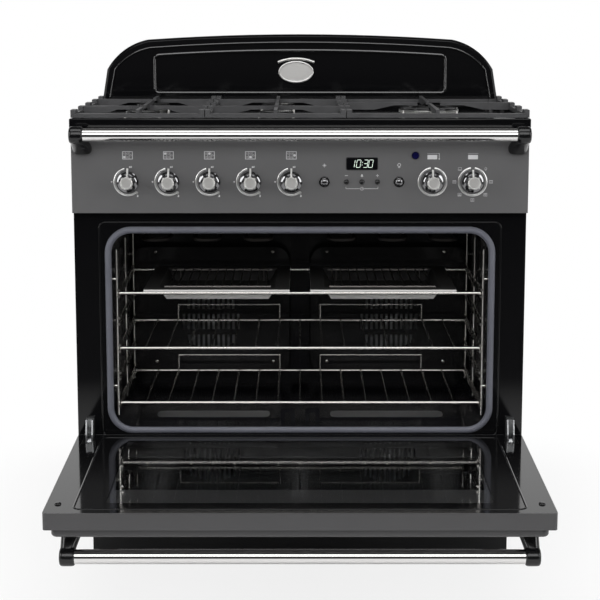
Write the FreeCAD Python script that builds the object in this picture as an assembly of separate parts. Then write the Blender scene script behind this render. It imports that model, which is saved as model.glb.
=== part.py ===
# Range cooker: a five-burner gas hob over one full-width fan oven, with a storage drawer below.
#
# Lengths are millimetres and angles are degrees. While the pieces are made, the plane y = 0 is
# the front face of the body and -Y is the cook's side. The door and all that rides on it are
# made shut and then swung open on the hinge axis, because the cooker rests with its door down.
# At the end every piece moves along Y, which puts the origin under the middle of the cooker.

import FreeCAD, Part
import math
import os

V = FreeCAD.Vector

# ---- driving dimensions --------------------------------------------------------------------

# body
body_width = 900.0
body_depth = 555.0
body_bottom = 75.0
panel_height = 168.0
panel_door_gap = 3.0
side_sheet = 1.2
side_return = 15.0
slot_play = 0.5
back_sheet = 1.2
frame_sheet = 2.0
base_rail = 70.0
base_height = 15.0
foot_inset = 50.0
foot_setback = 60.0
foot_radius = 20.0
foot_height = 12.0
stem_radius = 6.0
plinth_inset = 23.0
plinth_setback = 20.0
plinth_sheet = 2.0
plinth_clearance = 12.0

# oven cavity
cavity_side = 73.5
cavity_lift = 203.0
cavity_height = 397.0
cavity_depth = 390.0
cavity_corner = 40.0
liner_sheet = 1.5
liner_flange = 12.0
floor_emboss = 3.0
insulation_side = 30.0
insulation_back = 28.0
seal_width = 13.0
seal_gap = 0.4
channel_width = 40.0
channel_drop = 35.0
channel_lift = 20.0
emboss_front = 60.0
emboss_margin = 40.0
bracket_width = 29.0
bracket_height = 32.0
bracket_gap = 21.0
bracket_leg = 8.0
bracket_front = 20.0
bracket_depth = 10.0

# fans and heaters
fan_cover_depth = 40.0
fan_cover_lift = 34.0
fan_cover_drop = 82.0
fan_cover_sheet = 1.5
fan_cover_corner = 30.0
fan_cover_margin = 4.0
fan_centre_lift = 147.0
fan_radius = 72.0
fan_blades = 8
fan_gap = 7.0
hub_radius = 12.0
blade_sheet = 1.2
blade_length = 35.0
fan_disc = 1.5
shaft_radius = 4.0
shaft_hole = 8.0
running_clearance = 0.05
end_play = 1.0
motor_radius = 40.0
motor_length = 58.0
slot_width = 5.0
slot_pitch = 11.0
slot_field_radius = 70.0
slot_tier_gap = 12.0
ring_radius = 88.0
heater_radius = 4.0
tail_radius = 3.0
tail_spread = 12.0
grill_drop = 20.0
grill_bend = 26.0
grill_runs = 6
grill_front = 70.0
grill_rear_gap = 62.0
hanger_setback = 200.0
hanger_width = 12.0
hanger_sheet = 3.0
lamp_radius = 15.0
lamp_drop = 17.0
lamp_depth = 15.0

# racks, shelves and grill pans
rack_wire = 2.5
runner_bite = 0.5
runner_lap = 4.0
stud_inset = 60.0
rack_wall_gap = 5.0
rack_front = 14.0
rack_rear_gap = 12.0
rack_lift = 22.0
rack_drop = 35.0
runner_pitch = 56.6
runner_gap = 13.0
runner_levels = 5
middle_level = 2
bottom_level = 0
lowest_shelf_lift = 46.0
shelf_front = 18.0
shelf_rear_gap = 44.0
shelf_bar = 3.0
shelf_wire = 1.6
shelf_wire_pitch = 44.6
shelf_wires = 15
wire_overhang = 2.0
wire_bite = 0.8
loop_spans = ((1, 6), (8, 13))
shelf_play = 1.0
loop_height = 35.0
pan_width = 294.0
pan_body_width = 240.0
pan_end_gap = 22.0
pan_floor_inset = 16.0
pan_height = 22.0
pan_sheet = 1.2
pan_centre = 168.0
pan_bar_gap = 6.0
pan_rim_lap = 2.0
rim_height = 4.0
trivet_width = 228.0
trivet_wire_pitch = 18.0
trivet_wires = 12
trivet_rail = 2.0
trivet_wire = 1.5
trivet_inset = 14.0
trivet_side_inset = 6.0
trivet_leg_inset = 18.0
trivet_tie_inset = 10.0

# door
door_side_gap = 1.0
door_below_cavity = 39.0
door_above_cavity = 40.0
door_gap = 6.0
door_sheet = 1.5
door_corner = 6.0
door_tray_depth = 31.0
door_panel_depth = 18.0
door_panel_inset = 12.0
door_panel_round = 6.0
inner_panel_sheet = 2.0
glass_side = 99.0
glass_lift = 36.0
glass_drop = 49.0
glass_sheet = 4.0
glass_lap = 6.0
window_side = 111.0
window_lift = 81.0
window_shoulder_lift = 189.0
window_crown_lift = 257.0
window_lap = 12.0
pivot_setback = 12.0
door_droop = 1.3
plug_radius = 6.0
plug_inset = 21.0
plug_drop = 49.0

# door hinges
hinge_inset = 25.0
pin_radius = 4.0
leaf_width = 7.0
leaf_nose = 8.0
leaf_foot_sheet = 3.0
leaf_foot_margin = 8.0
notch_side = 3.0
notch_depth = 2.0
notch_top = 5.0
cheek_sheet = 3.0
cheek_play = 1.0
cheek_rise = 46.0
web_rise = 17.0
web_setback = 4.0
hinge_box_depth = 58.0
hinge_flange = 8.0
hinge_flange_sheet = 2.0

# rails
rail_tube = 1.5
handle_radius = 13.0
handle_inset = 25.0
handle_stand_off = 47.0
handle_drop = 45.0
hand_rail_radius = 12.5
hand_rail_inset = 6.0
hand_rail_stand_off = 45.0
hand_rail_drop = 10.0
sleeve_wall = 3.0
sleeve_length = 26.0
bracket_arm = 12.0
bracket_drop = 34.0
boss_radius = 11.0
boss_length = 9.0

# control panel
panel_forward = 20.0
panel_sheet = 1.5
knob_rise = 62.0
gas_knob_inset = 111.0
gas_knobs = 5
function_inset = 110.0
oven_knob_pitch = 79.0
knob_skirt = 21.0
knob_grip = 12.5
knob_reach = 33.0
knob_gap = 1.0
knob_fin_width = 5.0
knob_fin_setback = 12.0
spindle_radius = 3.0
spindle_length = 22.0
spindle_hole = 5.0
tap_width = 26.0
tap_height = 36.0
tap_depth = 44.0
gas_pipe_radius = 8.0
gas_pipe_overhang = 30.0
push_switch_width = 28.0
push_switch_depth = 26.0
switch_width = 40.0
gas_row_gap = 65.0
ignition_gap = 74.0
lamp_button_gap = 66.0
button_radius = 10.0
button_reach = 7.0
button_play = 0.3
button_travel = 3.0
button_tail = 3.0
dome_height = 2.0
dome_bevel = 3.0
clock_gap = 73.0
clock_rise = 36.0
clock_window_width = 60.0
clock_window_height = 23.0
clock_proud = 1.0
clock_case_margin = 12.0
clock_case_depth = 26.0
clock_button_radius = 4.0
clock_button_reach = 4.0
clock_button_pitch = 30.5
clock_button_travel = 2.0
neon_gap = 32.0
neon_rise = 52.0
neon_radius = 6.5
neon_proud = 3.0

# hob
hob_overhang = 2.0
hob_forward = 24.0
hob_height = 19.0
hob_rim = 12.0
deck_drop = 10.0
hob_sheet = 1.5
hob_edge = 3.0
hob_corner = 20.0
hob_skirt = 2.0
hob_back_shelf = 65.0
support_front_gap = 8.0
support_rear_gap = 28.0
support_left_width = 263.0
support_centre_width = 278.0
support_lift = 1.0
support_bar_height = 8.0
support_bar_width = 10.0
support_height = 15.0
support_gap = 1.5
support_teeth = 5
tooth_length = 34.0
finger_width = 7.0
finger_tip = 24.0
finger_tip_height = 6.0
finger_arch = 0.4
pad_inset = 22.0
pad_setback = 16.0
pad_radius = 4.5
burner_radius = 38.0
wok_radius = 64.0
burner_base_height = 12.0
cap_height = 5.0
cap_inset = 3.0
cap_round = 2.0
burner_clearance = 10.0
rest_gap = 0.3

# splashback
splash_setback = 50.0
splash_depth = 25.0
splash_side = 73.0
splash_lean = 12.0
splash_shoulder_inset = 105.0
splash_shoulder_rise = 140.0
splash_corner_inset = 51.0
splash_corner_rise = 116.5
splash_rise = 152.0
splash_round = 5.0
splash_border = 20.0
splash_step = 2.0
field_inset = 120.0
field_rise = 20.0
field_height = 90.0
field_corner = 28.0
field_step = 3.0

# drawer
drawer_front_lift = 5.0
drawer_door_gap = 39.0
drawer_front_depth = 22.0
drawer_front_sheet = 1.5
drawer_side = 58.0
drawer_length = 440.0
drawer_lift = 2.0
drawer_wall_height = 95.0
drawer_sheet = 1.2
drawer_play = 0.3
drawer_mouth_gap = 6.0
runner_wall = 2.0
runner_shelf = 16.0
runner_height = 40.0

# mains and gas connections
terminal_inset = 100.0
terminal_width = 100.0
terminal_depth = 45.0
terminal_lift = 125.0
terminal_height = 80.0
inlet_inset = 100.0
inlet_length = 60.0
inlet_drop = 56.0
inlet_radius = 10.0

# ---- places that follow from them ----------------------------------------------------------

half = body_width / 2
inner_half = half - side_sheet
cavity_half = half - cavity_side
cavity_bottom = body_bottom + cavity_lift
cavity_top = cavity_bottom + cavity_height
door_half = half - door_side_gap
door_bottom = cavity_bottom - door_below_cavity
door_top = cavity_top + door_above_cavity
panel_bottom = door_top + panel_door_gap
body_top = panel_bottom + panel_height
hob_top = body_top + hob_height
hob_deck = hob_top - deck_drop
hob_half = half + hob_overhang
hob_front = -hob_forward

liner_front = frame_sheet
liner_back = liner_front + cavity_depth
insulation_rear = liner_back + liner_sheet + insulation_back
cover_front = liner_back - fan_cover_depth
fan_cover_bottom = cavity_bottom + fan_cover_lift
fan_cover_top = cavity_top - fan_cover_drop
channel_half = channel_width / 2
channel_top = cavity_top - channel_drop
cover_inner = channel_half + fan_cover_margin
cover_outer = cavity_half - fan_cover_margin
fan_at = (cover_inner + cover_outer) / 2
fan_centre_height = cavity_bottom + fan_centre_lift
grill_height = cavity_top - grill_drop
grill_rear = liner_back - grill_rear_gap
lamp_height = cavity_top - lamp_drop

rack_at = cavity_half - rack_wall_gap - rack_wire
rack_rear = cover_front - rack_rear_gap
rack_bottom = cavity_bottom + rack_lift
rack_top = cavity_top - rack_drop
runner_at = rack_at - rack_wire * 2 + runner_bite
shelf_half = runner_at - shelf_play
shelf_rear = cover_front - shelf_rear_gap
shelf_middle_y = (shelf_front + shelf_rear) / 2
lowest_shelf = cavity_bottom + lowest_shelf_lift
grill_level_height = lowest_shelf + runner_pitch * (runner_levels - 1)
pan_rest = grill_level_height + shelf_bar + rest_gap
pan_reach = shelf_rear - shelf_middle_y - pan_end_gap

pivot_y = -door_gap - pivot_setback
pivot_z = door_bottom + pivot_setback
open_angle = 90.0 + door_droop
door_face = -door_gap - door_tray_depth
door_outer_face = door_face - door_panel_depth
glass_half = door_half - glass_side
glass_bottom = door_bottom + glass_lift
glass_top = door_top - glass_drop
window_half = door_half - window_side
window_bottom = door_bottom + window_lift
window_shoulder = door_bottom + window_shoulder_lift
window_crown = door_bottom + window_crown_lift
handle_half = door_half - handle_inset
hinge_at = half - hinge_inset
cheek_inner = leaf_width / 2 + cheek_play
cheek_outer = cheek_inner + cheek_sheet
cheek_top = pivot_z + cheek_rise
web_bottom = pivot_z + web_rise

panel_face = -panel_forward
panel_back = panel_face + panel_sheet
button_seat = panel_face + button_tail
hand_rail_half = half - hand_rail_inset
hand_rail_height = body_top - hand_rail_drop
knob_height = panel_bottom + knob_rise
function_at = half - function_inset
thermostat_at = function_at - oven_knob_pitch
lamp_button_at = thermostat_at - lamp_button_gap
neon_at = lamp_button_at + neon_gap
neon_height = knob_height + neon_rise
clock_at = lamp_button_at - clock_gap
clock_height = knob_height + clock_rise
ignition_at = clock_at - ignition_gap
gas_knob_first = -half + gas_knob_inset
gas_knob_last = ignition_at - gas_row_gap

support_front = hob_front + support_front_gap
support_rear = body_depth - hob_back_shelf - support_rear_gap
support_low = hob_top + support_lift
support_top = support_low + support_height
splash_front = body_depth - splash_setback
splash_shoulder = half - splash_shoulder_inset
splash_corner = half - splash_corner_inset
field_half = half - field_inset
field_bottom = hob_top + field_rise

drawer_front_bottom = body_bottom + drawer_front_lift
drawer_front_top = door_bottom - drawer_door_gap
drawer_half = half - drawer_side
drawer_floor = body_bottom + base_height + drawer_lift
terminal_at = half - terminal_inset
terminal_bottom = body_bottom + terminal_lift
inlet_at = -half + inlet_inset
inlet_height = body_top - inlet_drop

door_front_end = (
    pivot_y
    + pivot_setback * math.cos(math.radians(open_angle))
    - (door_top - pivot_z) * math.sin(math.radians(open_angle))
)
origin_shift = -(door_front_end + body_depth) / 2


# ---- small tools ---------------------------------------------------------------------------

def block(x, y, z):
    """A box between three pairs of low and high values."""
    return Part.makeBox(x[1] - x[0], y[1] - y[0], z[1] - z[0], V(x[0], y[0], z[0]))


def rod(start, end, radius):
    """A cylinder between two points."""
    along = V(*end) - V(*start)
    return Part.makeCylinder(radius, along.Length, V(*start), along)


def union(shapes):
    """One solid of several that touch or overlap."""
    return shapes[0].fuse(shapes[1:]).removeSplitter()


def both_sides(shape):
    """A shape and its mirror image across the middle plane."""
    return [shape, shape.mirror(V(0, 0, 0), V(1, 0, 0))]


def spaced(count, pitch, middle=0.0):
    """Evenly pitched places about a middle."""
    return [middle + (n - (count - 1) / 2) * pitch for n in range(count)]


def rounded_wire(x, z, radius, y):
    """A rectangle with rounded corners in a plane that faces along Y."""
    (x0, x1), (z0, z1) = x, z
    dip = radius * (1 - math.sqrt(0.5))
    line, arc = Part.LineSegment, Part.Arc
    edges = [
        line(V(x0 + radius, y, z0), V(x1 - radius, y, z0)),
        arc(V(x1 - radius, y, z0), V(x1 - dip, y, z0 + dip), V(x1, y, z0 + radius)),
        line(V(x1, y, z0 + radius), V(x1, y, z1 - radius)),
        arc(V(x1, y, z1 - radius), V(x1 - dip, y, z1 - dip), V(x1 - radius, y, z1)),
        line(V(x1 - radius, y, z1), V(x0 + radius, y, z1)),
        arc(V(x0 + radius, y, z1), V(x0 + dip, y, z1 - dip), V(x0, y, z1 - radius)),
        line(V(x0, y, z1 - radius), V(x0, y, z0 + radius)),
        arc(V(x0, y, z0 + radius), V(x0 + dip, y, z0 + dip), V(x0 + radius, y, z0)),
    ]
    return Part.Wire([edge.toShape() for edge in edges])


def rounded_block(x, y, z, radius):
    """A box whose four long edges, those along Y, are rounded."""
    return Part.Face(rounded_wire(x, z, radius, y[0])).extrude(V(0, y[1] - y[0], 0))


def plate(points, origin, across, up, thickness):
    """A flat piece from an outline drawn along two directions, as thick as stated."""
    corners = [origin + across * a + up * b for a, b in points]
    face = Part.Face(Part.makePolygon(corners + corners[:1]))
    normal = across.cross(up)
    face.translate(normal * (-thickness / 2))
    return face.extrude(normal * thickness)


def rounded_from_above(x, y, z, radius):
    """A box whose four upright edges are rounded."""
    upright = block(x, y, z)
    return upright.makeFillet(radius, [e for e in upright.Edges if e.BoundBox.ZLength > z[1] - z[0] - 0.01])


def turned_forward(profile, x, y, z):
    """A solid turned about an axis along Y, from (radius, reach towards the cook) points."""
    points = [V(x + radius, y - reach, z) for radius, reach in profile]
    face = Part.Face(Part.makePolygon(points + points[:1]))
    return face.revolve(V(x, y, z), V(0, 1, 0), 360)


def swung_open(shape):
    """A piece of the door, made shut, turned down on the hinge axis."""
    moved = shape.copy()
    moved.rotate(V(0, pivot_y, pivot_z), V(1, 0, 0), open_angle)
    return moved


# ---- body ----------------------------------------------------------------------------------

def side_panels():
    wall = block((-half, -inner_half), (0, body_depth), (body_bottom, body_top))
    foot = block(
        (-inner_half, -inner_half + side_return),
        (0, body_depth - back_sheet),
        (body_bottom, body_bottom + side_sheet),
    )
    return both_sides(union([wall, foot]))


def back_panel():
    low = body_bottom + side_sheet
    return [block((-inner_half, inner_half), (body_depth - back_sheet, body_depth), (low, body_top))]


def base_frame():
    low = body_bottom + side_sheet
    high = body_bottom + base_height
    rear = body_depth - back_sheet
    ring = block((-inner_half, inner_half), (frame_sheet, rear), (low, high))
    hole = block(
        (-inner_half + base_rail, inner_half - base_rail),
        (frame_sheet + base_rail, rear - base_rail),
        (low - 1, high + 1),
    )
    return [ring.cut(hole)]


def front_frame():
    sheet = block((-inner_half, inner_half), (0, frame_sheet), (body_bottom + side_sheet, panel_bottom))
    mouth = rounded_block(
        (-cavity_half, cavity_half), (-1, frame_sheet + 1), (cavity_bottom, cavity_top), cavity_corner
    )
    play = drawer_mouth_gap
    drawer_hole = block(
        (-drawer_half - play, drawer_half + play),
        (-1, frame_sheet + 1),
        (body_bottom + base_height, drawer_floor + drawer_wall_height + play),
    )
    slot = block(
        (hinge_at - cheek_outer - slot_play, hinge_at + cheek_outer + slot_play),
        (-1, frame_sheet + 1),
        (pivot_z - leaf_nose - slot_play, cheek_top + slot_play),
    )
    return [sheet.cut([mouth, drawer_hole] + both_sides(slot))]


def feet():
    stands = []
    for x in (-half + foot_inset, half - foot_inset):
        for y in (foot_setback, body_depth - foot_setback):
            disc = rod((x, y, 0), (x, y, foot_height), foot_radius)
            stem = rod((x, y, foot_height), (x, y, body_bottom + side_sheet), stem_radius)
            stands.append(union([disc, stem]))
    return stands


def plinth():
    outer = half - plinth_inset
    rear = body_depth - plinth_setback
    top = body_bottom + side_sheet
    shell = block((-outer, outer), (plinth_setback, rear), (plinth_clearance, top))
    hollow = block(
        (-outer + plinth_sheet, outer - plinth_sheet),
        (plinth_setback + plinth_sheet, rear + 1),
        (plinth_clearance - 1, top + 1),
    )
    return [shell.cut(hollow)]


# ---- oven ----------------------------------------------------------------------------------

def around_cavity(grow, y):
    """The cavity's rounded outline, grown by a wall and run along Y."""
    return rounded_block(
        (-cavity_half - grow, cavity_half + grow),
        y,
        (cavity_bottom - grow, cavity_top + grow),
        cavity_corner + grow,
    )


def fan_shaft_holes(y):
    return [
        rod((x, y[0], fan_centre_height), (x, y[1], fan_centre_height), shaft_hole) for x in (-fan_at, fan_at)
    ]


def floor_hoop():
    """One of the two little hoops that stand on the cavity floor inside the mouth."""
    inner = bracket_gap / 2
    y = (bracket_front, bracket_front + bracket_depth)
    arch = block((inner, inner + bracket_width), y, (cavity_bottom - 1, cavity_bottom + bracket_height))
    gap = block(
        (inner + bracket_leg, inner + bracket_width - bracket_leg),
        (y[0] - 1, y[1] + 1),
        (cavity_bottom, cavity_bottom + bracket_height - bracket_leg),
    )
    return arch.cut(gap)


def oven_liner():
    """The enamelled box of the oven, with its mouth flange, pressed floor and rear channel."""
    shell = around_cavity(liner_sheet, (liner_front, liner_back + liner_sheet))
    flange = around_cavity(liner_flange, (liner_front, liner_front + liner_sheet))
    body = union([shell, flange]).cut(around_cavity(0, (liner_front - 1, liner_back)))
    channel = block(
        (-channel_half, channel_half),
        (cover_front, liner_back + 1),
        (cavity_bottom + channel_lift, channel_top),
    )
    emboss = block(
        (channel_width, cavity_half - cavity_corner - liner_flange),
        (emboss_front, cover_front - emboss_margin),
        (cavity_bottom - 1, cavity_bottom + floor_emboss),
    )
    body = union([body, channel] + both_sides(emboss) + both_sides(floor_hoop()))
    return [body.cut(fan_shaft_holes((liner_back - 1, insulation_rear)))]


def oven_insulation():
    wrap = liner_sheet + insulation_side
    blanket = block(
        (-cavity_half - wrap, cavity_half + wrap),
        (liner_front + liner_sheet, insulation_rear),
        (cavity_bottom - wrap, cavity_top + wrap),
    )
    hollow = around_cavity(liner_sheet, (0, liner_back + liner_sheet))
    flange = around_cavity(liner_flange, (0, liner_front + liner_sheet))
    return [blanket.cut([hollow, flange] + fan_shaft_holes((liner_back, insulation_rear + 1)))]


def door_seal():
    depth = door_gap - seal_gap
    return [around_cavity(seal_width, (-depth, 0)).cut(around_cavity(0, (-depth - 1, 1)))]


def slot_tools(x):
    """The upright air slots of one fan cover: columns in a disc, in three tiers."""
    tier = slot_field_radius * 2 / 3
    columns = int(slot_field_radius * 2 // slot_pitch)
    tools = []
    for place in spaced(columns, slot_pitch):
        reach = math.sqrt(max(slot_field_radius**2 - place**2, 0))
        for level in (-1, 0, 1):
            low = max(-reach, (level - 0.5) * tier + slot_tier_gap / 2)
            high = min(reach, (level + 0.5) * tier - slot_tier_gap / 2)
            if high - low < slot_width * 2:
                continue
            tools.append(
                block(
                    (x + place - slot_width / 2, x + place + slot_width / 2),
                    (cover_front - 1, cover_front + fan_cover_sheet + 1),
                    (fan_centre_height + low, fan_centre_height + high),
                )
            )
    return tools


def fan_covers():
    x = (cover_inner, cover_outer)
    z = (fan_cover_bottom, fan_cover_top)
    shell = rounded_block(x, (cover_front, liner_back), z, fan_cover_corner)
    wall = fan_cover_sheet
    hollow = rounded_block(
        (x[0] + wall, x[1] - wall),
        (cover_front + wall, liner_back + 1),
        (z[0] + wall, z[1] - wall),
        fan_cover_corner - wall,
    )
    return both_sides(shell.cut([hollow] + slot_tools(fan_at)))


def fan(x):
    """A bladed wheel on a spindle that runs back into its motor."""
    def along(front, rear, radius):
        return rod((x, front, fan_centre_height), (x, rear, fan_centre_height), radius)

    front = cover_front + fan_gap
    rear = liner_back - fan_gap
    hub = along(front, rear, hub_radius)
    disc = along(rear - fan_disc, rear, fan_radius)
    spindle = along(rear - fan_disc, insulation_rear + motor_length / 2, shaft_radius)
    blade = block(
        (x + fan_radius - blade_length - 1, x + fan_radius - 1),
        (front, rear - fan_disc / 2),
        (fan_centre_height - blade_sheet / 2, fan_centre_height + blade_sheet / 2),
    )
    blades = []
    for n in range(fan_blades):
        turned = blade.copy()
        turned.rotate(V(x, 0, fan_centre_height), V(0, 1, 0), 360.0 / fan_blades * n)
        blades.append(turned)
    return [union([disc, hub, spindle] + blades)]


def fan_motors():
    motors = []
    for x in (-fan_at, fan_at):
        front = (x, insulation_rear, fan_centre_height)
        case = rod(front, (x, insulation_rear + motor_length, fan_centre_height), motor_radius)
        bore_end = (x, insulation_rear + motor_length / 2 + end_play, fan_centre_height)
        motors.append(case.cut(rod(front, bore_end, shaft_radius + running_clearance)))
    return motors


def ring_heater(x):
    y = (cover_front + liner_back) / 2
    ring = Part.makeTorus(ring_radius, heater_radius, V(x, y, fan_centre_height), V(0, 1, 0))
    z = fan_centre_height + ring_radius
    tails = [rod((place, y, z), (place, liner_back, z), tail_radius) for place in spaced(2, tail_spread, x)]
    return union([ring] + tails)


def grill_heater():
    """One grill element: runs front to back joined by half-round bends, hung from the ceiling."""
    middle = cavity_half / 2
    places = spaced(grill_runs, grill_bend * 2, middle)
    parts = []
    for n, x in enumerate(places):
        rear = liner_back if n in (0, grill_runs - 1) else grill_rear
        parts.append(rod((x, grill_front, grill_height), (x, rear, grill_height), heater_radius))
    for n, (a, b) in enumerate(zip(places, places[1:])):
        y = grill_front if n % 2 == 0 else grill_rear
        bend = Part.makeTorus(
            grill_bend, heater_radius, V((a + b) / 2, y, grill_height), V(0, 0, 1), -180, 180, 180
        )
        if n % 2 == 0:
            bend.rotate(V((a + b) / 2, y, grill_height), V(0, 0, 1), 180)
        parts.append(bend)
    y = (hanger_setback - hanger_width / 2, hanger_setback + hanger_width / 2)
    bar = block(
        (places[0] - heater_radius, places[-1] + heater_radius),
        y,
        (grill_height, grill_height + heater_radius + hanger_sheet),
    )
    hanger = block((middle - hanger_width / 2, middle + hanger_width / 2), y, (grill_height, cavity_top))
    return union(parts + [bar, hanger])


def oven_elements():
    return [ring_heater(-fan_at), ring_heater(fan_at)] + both_sides(grill_heater())


def lamp_lenses():
    """The oven lamp's glass cover on the back wall, and the neon in the control panel."""
    glass = rod((0, liner_back - lamp_depth, lamp_height), (0, liner_back, lamp_height), lamp_radius)
    y = (panel_face - neon_proud, panel_back)
    neon = rod((neon_at, y[0], neon_height), (neon_at, y[1], neon_height), neon_radius)
    return [glass, neon]


# ---- racks, shelves and grill pans ---------------------------------------------------------

def runner_heights():
    return [lowest_shelf + n * runner_pitch for n in range(runner_levels)]


def shelf_racks():
    """A ladder of wire on each wall: uprights, and two runners for each shelf level."""
    uprights = [
        rod((-rack_at, y, rack_bottom), (-rack_at, y, rack_top), rack_wire)
        for y in (rack_front, (rack_front + rack_rear) / 2, rack_rear)
    ]
    runners = []
    for level in runner_heights():
        low = level - shelf_bar - rack_wire - rest_gap
        for z in (low, low + runner_gap):
            ends = [(-runner_at, y, z) for y in (rack_front - runner_lap, rack_rear + runner_lap)]
            runners.append(rod(*ends, rack_wire))
    studs = [
        rod((-rack_at, y, z), (-cavity_half, y, z), rack_wire)
        for y in (rack_front, rack_rear)
        for z in (rack_bottom + stud_inset, rack_top - stud_inset)
    ]
    return both_sides(union(uprights + runners + studs))


def shelf_ring(z):
    """The outer bars that every shelf has."""
    ends = (shelf_front, shelf_rear)
    bars = [rod((-shelf_half, y, z), (shelf_half, y, z), shelf_bar) for y in ends]
    bars += [rod((x, shelf_front, z), (x, shelf_rear, z), shelf_bar) for x in (-shelf_half, shelf_half)]
    corners = [Part.makeSphere(shelf_bar, V(x, y, z)) for x in (-shelf_half, shelf_half) for y in ends]
    return bars + corners


def back_stop(a, b, foot, top):
    """A wire loop that stands on two wires of a shelf and keeps dishes off the back wall."""
    wires = [rod((x, shelf_rear, foot), (x, shelf_rear, top), shelf_wire) for x in (a, b)]
    wires.append(rod((a, shelf_rear, top), (b, shelf_rear, top), shelf_wire))
    corners = [Part.makeSphere(shelf_wire, V(x, shelf_rear, top)) for x in (a, b)]
    return union(wires + corners)


def shelf(level):
    """A full-width wire shelf with two raised loops along its back."""
    z = lowest_shelf + runner_pitch * level
    bed = z + shelf_bar + shelf_wire - wire_bite
    places = spaced(shelf_wires, shelf_wire_pitch)
    y = (shelf_front - wire_overhang, shelf_rear + wire_overhang)
    wires = [rod((x, y[0], bed), (x, y[1], bed), shelf_wire) for x in places]
    stops = [
        back_stop(places[first], places[last], bed + shelf_wire, z + loop_height)
        for first, last in loop_spans
    ]
    return [union(shelf_ring(z) + wires)] + stops


def grill_frame():
    """The top shelf: outer bars, and two pairs of bars that a drop-in pan hangs between."""
    z = grill_level_height
    edge = pan_body_width / 2 + pan_bar_gap
    places = [middle + side * edge for middle in (-pan_centre, pan_centre) for side in (-1, 1)]
    return [union(shelf_ring(z) + [rod((x, shelf_front, z), (x, shelf_rear, z), shelf_bar) for x in places])]


def pan_frustum(x, shrink, low, high):
    """The sloping body of a grill pan, drawn in by a wall."""
    wires = []
    for z, inset in ((high, 0.0), (low, pan_floor_inset)):
        w = pan_body_width / 2 - inset - shrink
        d = pan_reach - inset - shrink
        signs = ((-1, -1), (1, -1), (1, 1), (-1, 1))
        points = [V(x + a * w, shelf_middle_y + b * d, z) for a, b in signs]
        wires.append(Part.makePolygon(points + points[:1]))
    return Part.makeLoft(wires, True, True)


def grill_pan(x):
    """A shallow drop-in pan: sloping walls, and a flat rim that rests on the grill frame."""
    top = pan_rest + rim_height
    floor = pan_rest - pan_height
    reach = shelf_rear - shelf_middle_y + pan_rim_lap
    rim = block(
        (x - pan_width / 2, x + pan_width / 2),
        (shelf_middle_y - reach, shelf_middle_y + reach),
        (pan_rest, top),
    )
    bowl = pan_frustum(x, 0, floor, top)
    inside = pan_frustum(x, pan_sheet, floor + pan_sheet, top + 0.01)
    return [union([rim, bowl]).cut(inside)]


def grill_trivet(x):
    """A wire rack that stands on four legs in a grill pan."""
    floor = pan_rest - pan_height + pan_sheet + rest_gap
    z = pan_rest + rim_height - 1
    reach = pan_reach - trivet_inset
    side = trivet_width / 2 - trivet_side_inset

    def across(y, radius):
        return rod((x - side, shelf_middle_y + y, z), (x + side, shelf_middle_y + y, z), radius)

    tie = reach - trivet_tie_inset
    rails = [across(y, trivet_rail) for y in (-reach, reach)] + [across(y, trivet_wire) for y in (-tie, tie)]
    wires = [
        rod((place, shelf_middle_y - reach, z), (place, shelf_middle_y + reach, z), trivet_wire)
        for place in spaced(trivet_wires, trivet_wire_pitch, x)
    ]
    legs = []
    for place in spaced(2, (side - trivet_leg_inset) * 2, x):
        for y in (shelf_middle_y - tie, shelf_middle_y + tie):
            legs.append(rod((place, y, floor), (place, y, z), trivet_wire))
    return [union(rails + wires + legs)]


# ---- door, made shut -----------------------------------------------------------------------

def hinge_notches():
    """Room in the door for the fixed hinge cheeks, over the whole swing."""
    side = cheek_outer + notch_side
    notch = block(
        (hinge_at - side, hinge_at + side),
        (pivot_y - leaf_nose - notch_depth, 0),
        (door_bottom - 1, cheek_top + notch_top),
    )
    return both_sides(notch)


def door_tray():
    z = (door_bottom, door_top)
    shell = rounded_block((-door_half, door_half), (door_face, -door_gap), z, door_corner)
    hollow = rounded_block(
        (-door_half + door_sheet, door_half - door_sheet),
        (door_face + door_sheet, 0),
        (z[0] + door_sheet, z[1] - door_sheet),
        door_corner - door_sheet,
    )
    window = block(
        (-window_half - window_lap, window_half + window_lap),
        (door_face - 1, door_face + door_sheet + 1),
        (window_bottom - window_lap, window_crown + window_lap),
    )
    return [shell.cut([hollow, window] + hinge_notches())]


def door_inner_panel():
    low, high = door_bottom + door_sheet, door_top - door_sheet
    rear = -door_gap - inner_panel_sheet
    side = door_half - door_sheet
    sheet = rounded_block((-side, side), (rear, -door_gap), (low, high), door_corner - door_sheet)
    hole = rounded_block(
        (-glass_half + glass_lap, glass_half - glass_lap),
        (rear - 1, 0),
        (glass_bottom + glass_lap, glass_top - glass_lap),
        door_corner,
    )
    plug_holes = [
        rod((x, rear - 1, door_top - plug_drop), (x, 0, door_top - plug_drop), plug_radius)
        for x in (-door_half + plug_inset, door_half - plug_inset)
    ]
    return [sheet.cut([hole] + plug_holes + hinge_notches())]


def door_inner_glass():
    front = -door_gap - inner_panel_sheet
    return [block((-glass_half, glass_half), (front - glass_sheet, front), (glass_bottom, glass_top))]


def window_tool():
    """The arched window of the outer door panel."""
    y = door_outer_face - 1
    half_w = window_half
    edges = [
        Part.LineSegment(V(-half_w, y, window_shoulder), V(-half_w, y, window_bottom)),
        Part.LineSegment(V(-half_w, y, window_bottom), V(half_w, y, window_bottom)),
        Part.LineSegment(V(half_w, y, window_bottom), V(half_w, y, window_shoulder)),
        Part.Arc(V(half_w, y, window_shoulder), V(0, y, window_crown), V(-half_w, y, window_shoulder)),
    ]
    face = Part.Face(Part.Wire([edge.toShape() for edge in edges]))
    return face.extrude(V(0, door_sheet + 2, 0))


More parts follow.
